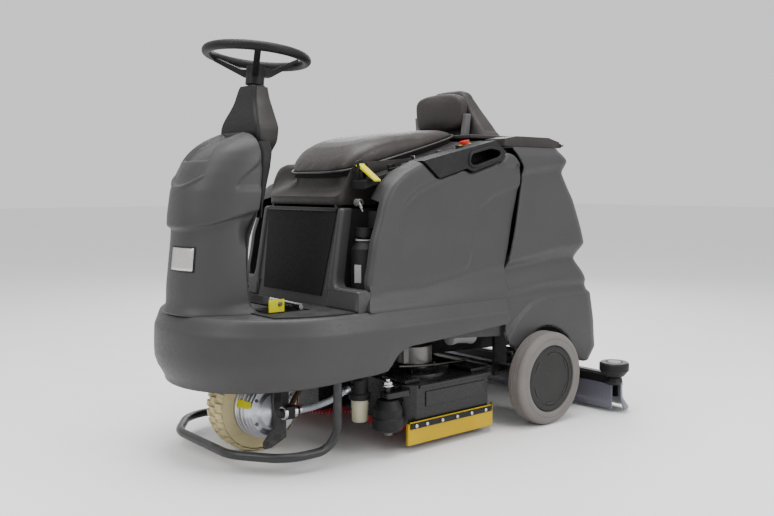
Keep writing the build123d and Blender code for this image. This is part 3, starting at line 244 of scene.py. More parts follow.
vinyl = surface("seat_vinyl", (0.026, 0.021, 0.019), rough=0.45, spec=0.38, bump=0.16, grain=1300, vary=0.10,
                depth=0.0003, edge=0.0, sheen=0.03, dust=0.015)
vinyl_dots = surface("backrest_vinyl", (0.030, 0.025, 0.024), rough=0.55, spec=0.3, bump=0.12, grain=1300,
                     edge=0.0, pattern=dots(330.0), pattern_bump=0.35, pattern_dark=0.55, dust=0.03)
piping = surface("piping_vinyl", (0.030, 0.027, 0.026), rough=0.36, spec=0.5, bump=0.1, edge=0.0)
tyre_grey = surface("tyre_grey", (0.145, 0.132, 0.125), rough=0.72, spec=0.3, bump=0.2, grain=500, edge=0.001,
                    wear=0.12, dust=0.0)
tyre_cream = surface("tyre_cream", (0.50, 0.43, 0.24), rough=0.7, spec=0.3, bump=0.2, grain=420, vary=0.22,
                     edge=0.001)
mat_rubber = surface("mat_rubber", (0.012, 0.012, 0.012), rough=0.75, spec=0.3, bump=0.4, grain=300,
                     edge=0.001,
                     pattern=dots(150.0), pattern_bump=0.8, depth=0.001, dust=0.05)
blade_yellow = surface("blade_yellow", (0.46, 0.30, 0.0), rough=0.42, spec=0.22, bump=0.06, vary=0.1,
                       dust=0.0)
safety_yellow = surface("safety_yellow", (0.60, 0.57, 0.0), rough=0.4, spec=0.2, bump=0.04, vary=0.08,
                        wear=0.25,
                        wear_colour=(0.35, 0.31, 0.02), dust=0.0)
blade_clear = surface("blade_clear", (0.15, 0.145, 0.185), rough=0.35, spec=0.5, bump=0.06, alpha=0.86,
                      pattern=bands(55.0, "Y"), pattern_bump=0.5, pattern_dark=0.35, dust=0.0)
bristle_red = surface("bristle_red", (0.42, 0.010, 0.030), rough=0.5, spec=0.35, bump=0.1, vary=0.3, edge=0.0)
red_plastic = surface("red_plastic", (0.55, 0.015, 0.015), rough=0.3, spec=0.5, bump=0.02, dust=0.0)
clear_bowl = surface("clear_bowl", (0.75, 0.72, 0.52), rough=0.12, spec=0.6, bump=0.02, alpha=0.42, edge=0.0,
                     dust=0.0)
hose_braid = surface("hose_braid", (0.30, 0.32, 0.35), rough=0.3, spec=0.5, bump=0.05, edge=0.0,
                     pattern=weave(75.0, ("DIAGONAL", "Z")), pattern_bump=0.5, pattern_dark=0.45, dust=0.0)
hose_brown = surface("hose_brown", (0.10, 0.065, 0.04), rough=0.35, metal=0.5, spec=0.5, bump=0.05, edge=0.0,
                     pattern=weave(90.0, ("DIAGONAL", "Z")), pattern_bump=0.5, pattern_dark=0.5, dust=0.0)
light_plastic = surface("light_plastic", (0.27, 0.27, 0.265), rough=0.5, bump=0.06, vary=0.1)
hub_plastic = surface("hub_plastic", (0.014, 0.0135, 0.013), rough=0.5, spec=0.28, bump=0.06, wear=0.1,
                      dust=0.0)
post_grey = surface("post_grey", (0.11, 0.11, 0.112), rough=0.45, metal=0.3, bump=0.06, vary=0.12)
battery_case = surface("battery_case", (0.02, 0.02, 0.022), rough=0.5, bump=0.1)
plate_metal = surface("plate_metal", (0.60, 0.58, 0.55), rough=0.3, metal=0.85, vary=0.06, bump=0.06,
                      dust=0.0,
                      streak=(1.0, 0.06, 1.0))

NODE_LOOK = {
    "chassis_frame": frame_paint, "rear_axle": dark_steel, "bumper_ring": frame_paint,
    "lower_cowl": body_grey,
    "foot_mat": mat_rubber, "nose_shell": body_grey, "column_cover": black_plastic,
    "steering_wheel": black_plastic,
    "steering_shaft": dark_steel, "steering_chain": dark_steel, "fork": frame_paint, "drive_motor": alloy,
    "drive_hub": alloy, "drive_tyre": tyre_cream, "rear_hub_left": warm_plastic,
    "rear_hub_right": warm_plastic,
    "rear_tyre_left": tyre_grey, "rear_tyre_right": tyre_grey, "seat_box": body_grey,
    "front_panel": panel_black,
    "side_shell_left": body_grey, "side_shell_right": body_grey, "console_left": black_plastic,
    "console_right": black_plastic, "rotary_knob": black_gloss, "key_switch": steel,
    "push_button": black_gloss,
    "e_stop_button": red_plastic, "side_lever": safety_yellow, "detergent_canister": black_plastic,
    "rear_tank": body_grey, "tank_lid": warm_plastic, "seat_pan": warm_plastic, "seat_cushion": vinyl,
    "backrest_pad": vinyl_dots, "backrest_cowl": warm_plastic, "battery_pack": battery_case,
    "vacuum_motor": alloy, "deck_housing": black_gloss, "brush_motors": dark_steel, "deck_actuator": steel,
    "brush_left": bristle_red, "brush_right": bristle_red, "deck_roller_left": black_plastic,
    "deck_roller_right": black_plastic, "side_squeegee_left": blade_yellow,
    "side_squeegee_right": blade_yellow,
    "squeegee_arm": frame_paint, "squeegee_body": black_plastic, "squeegee_roller_left": black_plastic,
    "squeegee_roller_right": black_plastic, "squeegee_blades": blade_clear, "valve_block": black_plastic,
    "filter_head": black_plastic, "filter_bowl": clear_bowl, "supply_hose": hose_braid, "hose_clamps": steel,
    "drive_pedal": steel, "pedal_bracket": frame_paint, "pedal_latch": safety_yellow}
for node_name, look in NODE_LOOK.items():
    mesh_data = nodes[node_name].data
    mesh_data.materials.clear()
    mesh_data.materials.append(look)


# ---------------------------------------------------------------- mesh helpers
WELD, SLIVER = 0.00005, 0.00002  # metres


def piece(name, verts, faces, body, look, slot, smooth=40.0, thick=0.0, thick_side=-1.0):
    """A mesh piece from vertices in millimetres, smooth except across sharp creases."""
    data = bpy.data.meshes.new(name)
    data.from_pydata([Vector(v) * MM for v in verts], [], [list(f) for f in faces])
    made = bmesh.new()
    made.from_mesh(data)
    bmesh.ops.remove_doubles(made, verts=made.verts, dist=WELD)
    bmesh.ops.dissolve_degenerate(made, edges=made.edges, dist=SLIVER)
    bmesh.ops.recalc_face_normals(made, faces=made.faces)
    made.to_mesh(data)
    made.free()
    data.validate()
    if smooth:
        data.shade_smooth()
        data.set_sharp_from_angle(angle=math.radians(smooth))
    data.materials.append(look)
    obj = bpy.data.objects.new(name, data)
    bpy.context.scene.collection.objects.link(obj)
    if thick:
        solid = obj.modifiers.new("thickness", "SOLIDIFY")
        solid.thickness = thick * MM
        solid.offset = thick_side
    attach(obj, body)
    return obj


def grid_faces(rows, columns, wrap=False):
    """Quads between rows of the same length."""
    last = columns if wrap else columns - 1
    return [(r * columns + c, r * columns + (c + 1) % columns, (r + 1) * columns + (c + 1) % columns,
             (r + 1) * columns + c) for r in range(rows - 1) for c in range(last)]


def sheet(rows, closed_over=False):
    """Vertices and faces through rows of the same length, with the last row closed over if asked."""
    columns = len(rows[0])
    faces = grid_faces(len(rows), columns)
    if closed_over:
        top = (len(rows) - 1) * columns
        faces.append(tuple(range(top, top + columns)))
    return [p for row in rows for p in row], faces


def circle(count):
    """Cosine and sine of even turns."""
    turns = [2 * math.pi * k / count for k in range(count)]
    return [(math.cos(a), math.sin(a)) for a in turns]


def squarer(value, power):
    """A sine or cosine for a squarer round: power 2 keeps it."""
    return math.copysign(abs(value) ** (2 / power), value)


def lofted(name, rings, body, look, slot, caps=(True, True), **options):
    """A skin through closed rings of the same number of points."""
    columns = len(rings[0])
    verts = [p for ring in rings for p in ring]
    faces = grid_faces(len(rings), columns, wrap=True)
    if caps[0]:
        faces.append(tuple(range(columns))[::-1])
    if caps[1]:
        faces.append(tuple((len(rings) - 1) * columns + c for c in range(columns)))
    return piece(name, verts, faces, body, look, slot, **options)


def lathe(name, profile, centre, axis, body, look, slot, turns=72, **options):
    """A turned piece: profile points are (along, radius), about the axis 'x', 'y' or 'z'."""
    order = {"x": (0, 1, 2), "y": (1, 0, 2), "z": (1, 2, 0)}[axis]
    rings = [[Vector(centre) + Vector([(at, radius * c, radius * s)[k] for k in order]) for c,
              s in circle(turns)]
             for at, radius in profile]
    return lofted(name, rings, body, look, slot, **options)


def tube(name, points, radius, body, look, closed=False):
    """A round bar or hose along a smooth line through its points."""
    curve = bpy.data.curves.new(name + "_line", "CURVE")
    curve.dimensions = "3D"
    spline = curve.splines.new("NURBS")
    spline.points.add(len(points) - 1)
    for slot_point, p in zip(spline.points, points):
        slot_point.co = (*(Vector(p) * MM), 1.0)
    spline.order_u = 3
    spline.use_endpoint_u = not closed
    spline.use_cyclic_u = closed
    spline.resolution_u = 12
    curve.bevel_depth = radius * MM
    curve.bevel_resolution = 4
    curve.use_fill_caps = True
    temporary = bpy.data.objects.new(name + "_curve", curve)
    bpy.context.scene.collection.objects.link(temporary)
    data = bpy.data.meshes.new_from_object(temporary)
    bpy.data.objects.remove(temporary)
    data.name = name
    data.shade_smooth()
    data.set_sharp_from_angle(angle=math.radians(50))
    data.materials.clear()
    data.materials.append(look)
    obj = bpy.data.objects.new(name, data)
    bpy.context.scene.collection.objects.link(obj)
    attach(obj, body)
    return obj


def block(name, corners, depth, body, look, slot, round_edge=2.0):
    """A slab from a flat outline of 3-D corners, pushed along depth, with rounded edges."""
    outline = [Vector(c) for c in corners]
    push = Vector(depth)
    count = len(outline)
    verts = outline + [p + push for p in outline]
    faces = [tuple(range(count)), tuple(range(count, 2 * count))[::-1]]
    faces += [(k, (k + 1) % count, count + (k + 1) % count, count + k) for k in range(count)]
    obj = piece(name, verts, faces, body, look, slot, smooth=60.0)
    if round_edge:
        bevel = obj.modifiers.new("edge", "BEVEL")
        bevel.width = round_edge * MM
        bevel.segments = 3
        bevel.limit_method = "ANGLE"
        bevel.harden_normals = True
    return obj


def slab(name, centre, size, body, look, slot, round_edge=2.0, turn=None):
    """A box with rounded edges."""
    x, y, z = (s / 2 for s in size)
    rotate = turn or Matrix.Identity(3)
    corners = [Vector(centre) + rotate @ Vector(p) for p in ((-x, -y, -z), (x, -y, -z), (x, y, -z),
                                                             (-x, y, -z))]
    return block(name, corners, rotate @ Vector((0, 0, 2 * z)), body, look, slot, round_edge)


def joined(name, parts, body):
    """Several pieces made one."""
    with bpy.context.temp_override(active_object=parts[0], selected_editable_objects=parts):
        bpy.ops.object.join()
    parts[0].name = name
    parts[0].data.name = name
    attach(parts[0], body)
    return parts[0]


def step(value, low, high):
    """Smooth 0 to 1 as value goes from low to high."""
    t = min(1.0, max(0.0, (value - low) / (high - low)))
    return t * t * (3 - 2 * t)


def along(table, at):
    """Piecewise linear value of a table of (key, value...) rows, sorted by key."""
    if at <= table[0][0]:
        return table[0][1:]
    for a, b in zip(table, table[1:]):
        if at <= b[0]:
            t = (at - a[0]) / (b[0] - a[0])
            return tuple(p + (q - p) * t for p, q in zip(a[1:], b[1:]))
    return table[-1][1:]


def smooth_along(table, at):
    """The same with eased joints, for bodywork that flows."""
    span = 9.0
    samples = [along(table, at + d) for d in (-span, -span / 2, 0, span / 2, span)]
    weights = (1, 2, 3, 2, 1)
    return tuple(sum(w * s[k] for w, s in zip(weights, samples)) / sum(weights)
                 for k in range(len(samples[0])))


def resample(points, spacing, closed=True):
    """Points at even spacing along straight runs, corners kept."""
    result = []
    pairs = list(zip(points, points[1:] + points[:1])) if closed else list(zip(points, points[1:]))
    for a, b in pairs:
        count = max(1, round(math.dist(a, b) / spacing))
        result += [tuple(p + (q - p) * k / count for p, q in zip(a, b)) for k in range(count)]
    return result if closed else result + [points[-1]]


def rounded(points, amount, rounds=2):
    """Corner cutting that softens an outline."""
    for _ in range(rounds):
        cut = []
        for a, b in zip(points, points[1:] + points[:1]):
            length = max(1e-6, math.dist(a, b))
            t = min(0.25, amount / length)
            cut.append(tuple(p + (q - p) * t for p, q in zip(a, b)))
            cut.append(tuple(p + (q - p) * (1 - t) for p, q in zip(a, b)))
        points = cut
        amount *= 0.5
    return points


def edge_distance(x, z, outline, closed=True):
    """Distance from a point to an outline."""
    best = math.inf
    for a, b in zip(outline, outline[1:] + (outline[:1] if closed else [])):
        dx, dz = b[0] - a[0], b[1] - a[1]
        t = max(0.0, min(1.0, ((x - a[0]) * dx + (z - a[1]) * dz) / (dx * dx + dz * dz + 1e-12)))
        best = min(best, math.hypot(x - (a[0] + t * dx), z - (a[1] + t * dz)))
    return best


def inside(x, z, outline):
    """Whether a point is inside a closed outline."""
    hit = False
    for a, b in zip(outline, outline[1:] + outline[:1]):
        if (a[1] > z) != (b[1] > z) and x < (b[0] - a[0]) * (z - a[1]) / (b[1] - a[1]) + a[0]:
            hit = not hit
    return hit


EDGE_RINGS = (2.5, 6.0, 10.0, 15.0)  # rows of points this far inside the outline of a pillow


def pillow(name, outline, face_at, rims, body, look, slot, spacing=8.0, **options):
    """A shaped panel over a flat outline: face_at(u, v, distance to edge) gives a 3-D point, and each rim does
    so for the points of the outline, one after another, to turn the edge inwards."""
    border = resample(outline, spacing)
    low_u, high_u = min(p[0] for p in border), max(p[0] for p in border)
    low_v, high_v = min(p[1] for p in border), max(p[1] for p in border)
    flat = list(border)
    for ring in EDGE_RINGS:
        count = len(border)
        for k, p in enumerate(border):
            a, b = border[k - 1], border[(k + 1) % count]
            tangent = (b[0] - a[0], b[1] - a[1])
            size = math.hypot(*tangent) or 1.0
            for sign in (1, -1):
                q = (p[0] - sign * tangent[1] / size * ring, p[1] + sign * tangent[0] / size * ring)
                if inside(*q, border) and edge_distance(*q, border) > ring * 0.93:
                    flat.append(q)
    u = low_u + spacing / 2
    while u < high_u:
        v = low_v + spacing / 2
        while v < high_v:
            if inside(u, v, border) and edge_distance(u, v, border) > EDGE_RINGS[-1] + spacing * 0.5:
                flat.append((u, v))
            v += spacing
        u += spacing
    edges = [(k, (k + 1) % len(border)) for k in range(len(border))]
    points, _, faces, sources, *_ = delaunay_2d_cdt([Vector(p) for p in flat], edges, [], 0, 1e-6)
    faces = [f for f in faces if inside(*(sum(points[k][axis] for k in f) / len(f) for axis in (0, 1)),
                                        border)]
    verts = [face_at(p[0], p[1], edge_distance(p[0], p[1], border)) for p in points]
    made_from = {source: k for k, group in enumerate(sources) for source in group}
    loop = [made_from[k] for k in range(len(border))]
    for rim in rims:
        start = len(verts)
        verts += [rim(p[0], p[1]) for p in border]
        ring_now = list(range(start, start + len(border)))
        for k in range(len(border)):
            n = (k + 1) % len(border)
            faces.append((loop[k], loop[n], ring_now[n], ring_now[k]))
        loop = ring_now
    return piece(name, verts, faces, body, look, slot, **options)


def roll(distance, radius):
    """How far a rounded edge falls back at a distance from the outline."""
    if distance >= radius:
        return 0.0
    return radius - math.sqrt(max(0.0, radius * radius - (radius - distance) ** 2))


def superellipse(rear, front, half, power, columns=96, corner_front=None):
    """A closed plan outline between rear and front: power 2 is an ellipse, larger is squarer."""
    points = []
    middle, reach = (rear + front) / 2, (front - rear) / 2
    for c, s in circle(columns):
        n = corner_front if corner_front and c > 0 else power
        points.append((middle + reach * squarer(c, n), half * squarer(s, n)))
    return points


# ---------------------------------------------------------------- lower cowl
COWL_HALF, COWL_CENTRE, COWL_REAR, CREASE_Z = 365.0, 400.0, -229.0, 385.0
SIDE_BOTTOM = [(-240, 346), (-178, 343), (26, 331), (185, 323), (215, 314), (232, 303), (246, 284),
               (266, 260),
               (300, 254), (410, 246), (790, 223)]


def make_cowl():
    plan = [(x, COWL_HALF, 0.0, 1.0) for x in np.linspace(COWL_REAR, COWL_CENTRE, 90)]
    plan += [(COWL_CENTRE + COWL_HALF * math.sin(a), COWL_HALF * math.cos(a), math.sin(a), math.cos(a))
             for a in np.linspace(0, math.pi, 120)[1:-1]]
    plan += [(x, -COWL_HALF, 0.0, -1.0) for x in np.linspace(COWL_CENTRE, COWL_REAR, 90)]
    rows = []
    for share in (0.0, 0.03, 0.08, 0.16, 0.28, 0.42, 0.56, 0.70, 0.82, 0.92, 0.97, 1.0):
        row = []
        for x, y, nx, ny in plan:
            low = along(SIDE_BOTTOM, x)[0]
            z = low + (CREASE_Z - low) * share
            tuck = 26.0 * step(x, 180, 420) * (1 - step(z, low, low + 85)) ** 1.6
            bulge = 2.5 * math.sin(math.pi * share)
            inset = tuck - bulge + 2.5 + 1.2 * step(share, 0.95, 1.0)
            row.append((x - nx * inset, y - ny * inset, z))
        rows.append(row)
    for rise, rear_in, front_in in ((6, 5, 6.5), (14, 7, 9.5), (24, 10, 13), (32, 12, 16), (38, 13.5, 19),
                                    (42, 14.5, 23), (44.3, 15.5, 28), (45, 17, 34)):
        row = []
        for x, y, nx, ny in plan:
            share = step(x, 270, 400)
            inset = rear_in + (front_in - rear_in) * share
            row.append((x - nx * inset, y - ny * inset, CREASE_Z + rise))
        rows.append(row)
    obj = piece("cowl_skin", *sheet(rows, True), "chassis", body_grey, "body_grey", smooth=50, thick=3.5)
    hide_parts("lower_cowl")


make_cowl()

# ---------------------------------------------------------------- nose
NOSE = [(428, 752, 575, 152), (440, 751, 580, 150), (500, 750, 588, 150), (580, 744, 588, 150),
        (640, 739, 580, 150),
        (700, 737, 556, 150), (768, 726, 546, 150), (817, 706, 541, 149), (850, 685, 541, 146),
        (874, 662, 542, 142),
        (893, 637, 543, 134), (908, 610, 544, 122), (919, 584, 545, 104), (926, 566, 546, 84),
        (930, 556, 548, 60)]
HOOD_LIP = [(-180, 772), (-150, 764), (-120, 742), (-85, 704), (-50, 676), (-20, 664), (0, 662), (20, 664),
            (50, 676),
            (85, 704), (120, 742), (150, 764), (180, 772)]


def nose_point(a, z, lift=0.0):
    """A point of the nose: a is the turn about its middle from straight ahead, lift is outwards."""
    front, rear, half = smooth_along(NOSE, z) if z < 900 else along(NOSE, z)
    c, s = math.cos(a), math.sin(a)
    depth = min(front - rear, 190.0)
    if c >= 0:
        power = 2.25
        x = front - depth + depth * abs(c) ** (2 / power)
        normal = Vector((c, s, 0)).normalized()
    else:
        power = 8.0
        x = front - depth - max(front - depth - rear, 0.5) * abs(c) ** (2 / power)
        normal = Vector((c * 0.4, s, 0)).normalized()
    y = half * squarer(s, power)
    lip = along(HOOD_LIP, math.degrees(math.atan2(s, c)))[0]
    under = 12.0 * (1 - step(z, lip - 6, lip + 6)) * step(c, -0.75, -0.2) * (0.45 + 0.55 * step(z, 440, 640))
    flare = 26.0 * (1 - step(z, 426, 470)) ** 2.2 * (0.35 + 0.65 * step(-c, -0.6, 0.6))
    top_tilt = step(z, 780, 900)
    dent = 0.0
    if c > 0:
        dish_half = 78 - 25 * step(z, 846, 912)
        dent += 14.0 * (1 - step(abs(y), dish_half - 8, dish_half + 3)) * step(z, 846, 857)
        smile = 775 + 0.0043 * y * y
        dent -= 4.5 * math.exp(-((z - smile) / 5.0) ** 2) * (1 - step(abs(y), 72, 92))
        brow = step(z, smile + 2, smile + 9) * (1 - step(z, smile + 22, 846))
        dent += 5.5 * brow * (1 - step(abs(y), 62, 90))
    crescent_x = 617 - 78 * step(z, 765, 862) ** 1.3
    if z > 755 and abs(s) > 0.5:
        crescent = 1 - step(x, crescent_x - 4, crescent_x + 6)
        dent += 5.0 * crescent * step(z, 762, 784) * (1 - step(z, 856, 876))
    side_cut = 18.0 * (1 - step(x, 575, 622)) * math.exp(-((z - 655) / 40.0) ** 2) * step(abs(s), 0.75, 0.97)
    push = flare - under - side_cut
    slope = Vector((normal.x * (1 - 0.5 * top_tilt), normal.y * (1 - 0.5 * top_tilt), 0.75 * top_tilt))
    slope.normalize()
    return Vector((x, y, z)) + normal * push + slope * (lift - dent)


def make_nose():
    heights = list(np.arange(428, 770, 5.0)) + list(np.arange(770, 931, 2.5)) + [930.0]
    columns = 256
    rings = [[nose_point(2 * math.pi * k / columns, z) for k in range(columns)] for z in heights]
    obj = lofted("nose_skin", rings, "chassis", body_grey, "body_grey", caps=(False, True), smooth=55,
                 thick=3.5)
    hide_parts("nose_shell")
    for name, low, high, start, end, lift, look, slot in (
            ("nose_plate_rim", 546.0, 615.0, -7.0, 32.0, 1.2, black_plastic, "black_plastic"),
            ("nose_plate", 550.0, 611.0, -4.6, 29.6, 2.4, plate_metal, "bare_steel")):
        verts = [nose_point(math.radians(start + (end - start) * c / 10), low + (high - low) * r / 8, lift)
                 for r in range(9) for c in range(11)]
        piece(name, verts, grid_faces(9, 11), "chassis", look, slot, thick=1.5)
    rings = []
    for z in (692, 700, 730, 780, 830, 870, 892, 902):
        grow = 4 + 20 * step(z, 690, 880)
        half = along([(690, 143), (870, 146), (902, 132)], z)[0]
        rings.append([(x, y, z) for x, y in superellipse(547 - 2 * grow, 547, half, 5.0, 96)])
    lofted("nose_rear_cover", rings, "chassis", black_plastic, "black_plastic", smooth=50)


make_nose()

# ---------------------------------------------------------------- side shells
SHELL_FRONT = [(310, 474), (316, 509), (305, 558), (294, 626), (275, 678), (258, 739), (231, 783)]
SHOULDER_FRONT = {1: [(186, 820), (126, 846)], -1: [(196, 790), (150, 806), (126, 828)]}
SHELL = [(117, 849), (52, 799), (-61, 830), (-89, 820), (-218, 857), (-237, 886), (-275, 880), (-309, 844),
         (-313, 795), (-293, 714), (-265, 613), (-234, 508), (-237, 451), (-237, 428), (330, 428), (322, 450)]
SHOULDER_LINE = [(214, 560), (202, 694), (184, 732), (139, 764), (68, 793), (-40, 826), (-120, 846)]
REAR_LINE = [(-30, 430), (-47, 508), (-75, 567), (-92, 642), (-120, 718), (-186, 758), (-293, 784),
             (-340, 790)]
WAIST = [(-237, 512), (-220, 511), (-65, 500), (106, 474), (323, 470), (340, 470)]


def make_shell(side, tag):
    below_shoulder = SHOULDER_LINE + [(-420, 846), (-420, 400), (214, 400)]
    behind_line = REAR_LINE + [(-420, 790), (-420, 430)]

    def face_at(x, z, d):
        waist = smooth_along([tuple(p) for p in WAIST], x)[0]
        y = 335.0
        if inside(x, z, below_shoulder):
            near = edge_distance(x, z, SHOULDER_LINE, False)
            y -= 7.5 * step(near, 0, 17) * step(z, 560, 690)
        else:
            y += 1.5 * (1 - step(edge_distance(x, z, SHOULDER_LINE, False), 0, 12)) * step(z, 560, 690)
        if inside(x, z, behind_line):
            near = edge_distance(x, z, REAR_LINE, False)
            y -= 7.0 * step(near, 0, 20) * step(z, waist + 5, 560)
        y -= 5.0 * math.exp(-((z - waist - 16) / 15.0) ** 2) * step(-x, -330, -240)
        y += 16.0 * (1 - step(z, 430, waist + 3)) ** 1.15
        if z > 500 and x > -300:
            y -= roll(d, 14.0) * step(x + 0.4 * z, 60, 130)
        if x < 0 and z > 440:
            y -= roll(d, 4.5)
        return (x, side * y, z)

    def rim(depth_fraction):
        def at(x, z):
            front = x > 180 and z < 742
            target = 307.0 if front else 264.0
            if z < 432:
                target = 344.0
            start = face_at(x, z, 0.0)[1] * side
            y = start + (target - start) * depth_fraction
            bulge = 5.0 * math.sin(math.pi * depth_fraction) if z > 745 and x > 100 else 0.0
            return (x, side * y, z + bulge)
        return at

    outline = rounded(SHELL_FRONT + SHOULDER_FRONT[side] + SHELL, 9.0, 2)
    rims = [rim(f) for f in (0.12, 0.4, 0.75, 1.0)]
    obj = pillow("shell_skin_" + tag, outline, face_at, rims, "chassis", body_grey, "body_grey", spacing=9.0,
                 smooth=48, thick=3.0)
    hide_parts("side_shell_" + tag)


for side, tag in SIDES:
    make_shell(side, tag)

# ---------------------------------------------------------------- column cheeks and recess frames
COVER = [(872, 476, 524, 80), (905, 464, 530, 96), (945, 460, 533, 98), (985, 460, 524, 76),
         (1030, 459, 512, 50),
         (1066, 458, 503, 37)]


def front_plane(z):
    """X of the seat box's sloping front at height z."""
    return 358.0 - (z - 430.0) * 47.0 / 284.0


def make_column_cheek(side, tag):
    rows = []
    for z in np.arange(876, 1067, 6.0):
        rear, front, half = smooth_along(COVER, z)
        inner = half + 0.6
        rows.append([(rear - 3, side * (inner - 9), z), (rear - 4, side * inner, z),
                     (rear, side * (inner + 3.5), z),
                     (front - 18, side * (inner + 3.5), z), (front - 13, side * (inner + 2), z),
                     (front - 11, side * (inner - 5), z)])
    piece("column_cheek_" + tag, *sheet(rows), "chassis", warm_plastic, "warm_plastic", smooth=45)


def make_recess(side, tag):
    outline = [(188, 431), (334, 431), (334, 484), (326, 490), (232, 490), (221, 496), (215, 512), (213, 560),
               (211, 640), (209, 716), (188, 716)]

    def face_at(y, z, d):
        return (front_plane(z) + 6.5 - roll(d, 7.0), side * y, z)

    def rim(depth):
        return lambda y, z: (front_plane(z) - 0.5 - depth, side * y, z)

    pillow("recess_frame_" + tag, rounded(outline, 5.0, 2), face_at, [rim(d) for d in (4, 12, 30)], "chassis",
           body_grey, "body_grey", spacing=7.0, smooth=50)
    low, high = front_plane(486), front_plane(490)
    lip = [(low - 2, side * 318, 489), (low + 2, side * 300, 487), (low + 2, side * 236, 487),
           (high - 1, side * 226, 492)]
    # the lip is painted in the lighter grey as a highlight along the edge
    tube("recess_lip_" + tag, lip, 3.4, "chassis", painted_highlight_grey)


def make_guards(side, tag):
    inner = [(-552, 98, 204), (-60, 98, 226), (-60, 98, 365), (-552, 98, 365)]
    outer = [(-232, 320, 300), (150, 312, 330), (150, 312, 424), (-232, 320, 424)]
    for name, corners in (("inner_guard_", inner), ("side_guard_", outer)):
        block(name + tag, [(x, side * y, z) for x, y, z in corners], (0, side * 3, 0), "chassis", frame_paint,
              "frame_paint", 1.0)


for side, tag in SIDES:
    make_column_cheek(side, tag)
    make_recess(side, tag)
    make_guards(side, tag)
rail_x, rail_z = front_plane(716) + 2, 711
slab("front_rail", (rail_x, 0, rail_z), (12, 366, 12), "chassis", black_gloss, "black_plastic", 3.0)

# ---------------------------------------------------------------- recovery tank
TANK_FRONT = [(160, -234), (310, -234), (451, -241), (508, -238), (613, -269), (714, -297), (795, -317),
              (845, -313),
              (882, -283), (903, -268)]
TANK_REAR = [(160, -704), (212, -745), (264, -731), (450, -688), (530, -642), (582, -673), (735, -619),
             (823, -562),
             (866, -572), (903, -524)]
ARCH = [(-760, 222), (-745, 212), (-716, 176), (-704, 162), (-640, 168), (-606, 180), (-588, 206),
        (-568, 238),
        (-542, 268), (-508, 292), (-470, 309), (-435, 317), (-405, 316), (-375, 308), (-356, 298),
        (-341, 286),
        (-330, 272), (-318, 262), (-306, 257), (-294, 256), (-262, 266), (-246, 276), (-237, 300),
        (-230, 330)]
TANK_WAIST = [(-800, 534), (-585, 534), (-465, 531), (-237, 510), (-200, 508)]
TANK_LOW = [(-800, 459), (-629, 459), (-427, 464), (-243, 446), (-200, 444)]
TANK_ARCH = [(-800, 420), (-636, 414), (-500, 416), (-409, 411), (-350, 396), (-289, 357), (-262, 330),
             (-225, 280)]
TANK_HALF, TANK_CORNER = 340.0, 70.0


def make_tank():
    levels = list(np.arange(158, 904, 5.0)) + [904.0]
    straight, corner, rear_columns = 110, 22, 40
    plan = [(k / (straight - 1), 1.0, 0.0) for k in range(straight)]
    plan += [(1.0, math.cos(a), math.sin(a)) for a in (math.pi / 2 * k / (corner - 1)
                                                       for k in range(1, corner))]
    rows = []
    for z in levels:
        front = smooth_along(TANK_FRONT, z)[0]
        rear = along(TANK_REAR, z)[0] * 0.4 + smooth_along(TANK_REAR, z)[0] * 0.6
        side_row = []
        for share, cos_a, sin_a in plan:
            if sin_a:
                x = rear + TANK_CORNER - TANK_CORNER * sin_a
                y = TANK_HALF - TANK_CORNER + TANK_CORNER * cos_a
            else:
                x, y = front + share * (rear + TANK_CORNER - front), TANK_HALF
            bottom = along(ARCH, x)[0]
            zz = max(z, bottom)
            lip = 838 + 26 * step(-x, 300, 510)
            notch = 810 + 11 * step(-x, 300, 510)
            push = -11.0 * (1 - step(zz, notch, lip)) * step(zz, 610, 800)
            waist = along(TANK_WAIST, x)[0]
            valley = waist + 34 + 20 * step(-x, 250, 600)
            push -= 17.0 * (1 - step(zz, waist - 2, valley)) * step(zz, waist - 66, waist + 4)
            low_line = along(TANK_LOW, x)[0]
            push -= 6.0 * (1 - step(zz, low_line - 22, low_line)) * step(zz, 405, low_line - 22)
            arch_line = along(TANK_ARCH, x)[0]
            push += 9.0 * (1 - step(zz, arch_line - 10, arch_line + 5)) * step(zz, 190, 330)
            push -= roll(max(0.0, front - x), 5.0)
            push -= roll(zz - bottom, 6.0) * 0.7
            top_in = 10.0 * step(zz, 868, 904) ** 1.5
            side_row.append((x + sin_a * (-push), y + cos_a * push - top_in * cos_a, zz))
        rear_x, rear_y, _ = side_row[-1]
        row = list(side_row)
        for k in range(1, rear_columns):
            y = rear_y * (1 - 2 * (k / rear_columns))
            panel = 4.0 * (1 - step(abs(y), 150, 175)) * step(z, 560, 600) * (1 - step(z, 780, 815))
            row.append((rear_x + panel, y, max(z, along(ARCH, rear_x)[0])))
        row += [(x, -y, zz) for x, y, zz in reversed(side_row)]
        rows.append(row)
    obj = piece("tank_skin", *sheet(rows, True), "chassis", body_grey, "body_grey", smooth=50, thick=4.0)
    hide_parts("rear_tank")


make_tank()

# ---------------------------------------------------------------- seat
CUSHION_TOP = [(-230, 950), (-214, 960), (-140, 966), (-40, 958), (80, 944), (160, 928), (210, 908),
               (248, 876),
               (272, 838), (284, 815)]


def slope_z(x):
    """The underside of the cushion rises rearwards."""
    return 812.5 + (272 - x) * 128.0 / 482.0


def seat_plan(inset, columns=128):
    """The cushion from above: a round front and a slightly narrower rear."""
    ring = []
    for c, s in circle(columns):
        power = 4.2 if c > 0 else 5.0
        x = 32 + (246 - inset) * squarer(c, power)
        ring.append((x, (182 - inset - 14 * step(-x, -40, 214)) * squarer(s, power)))
    return ring


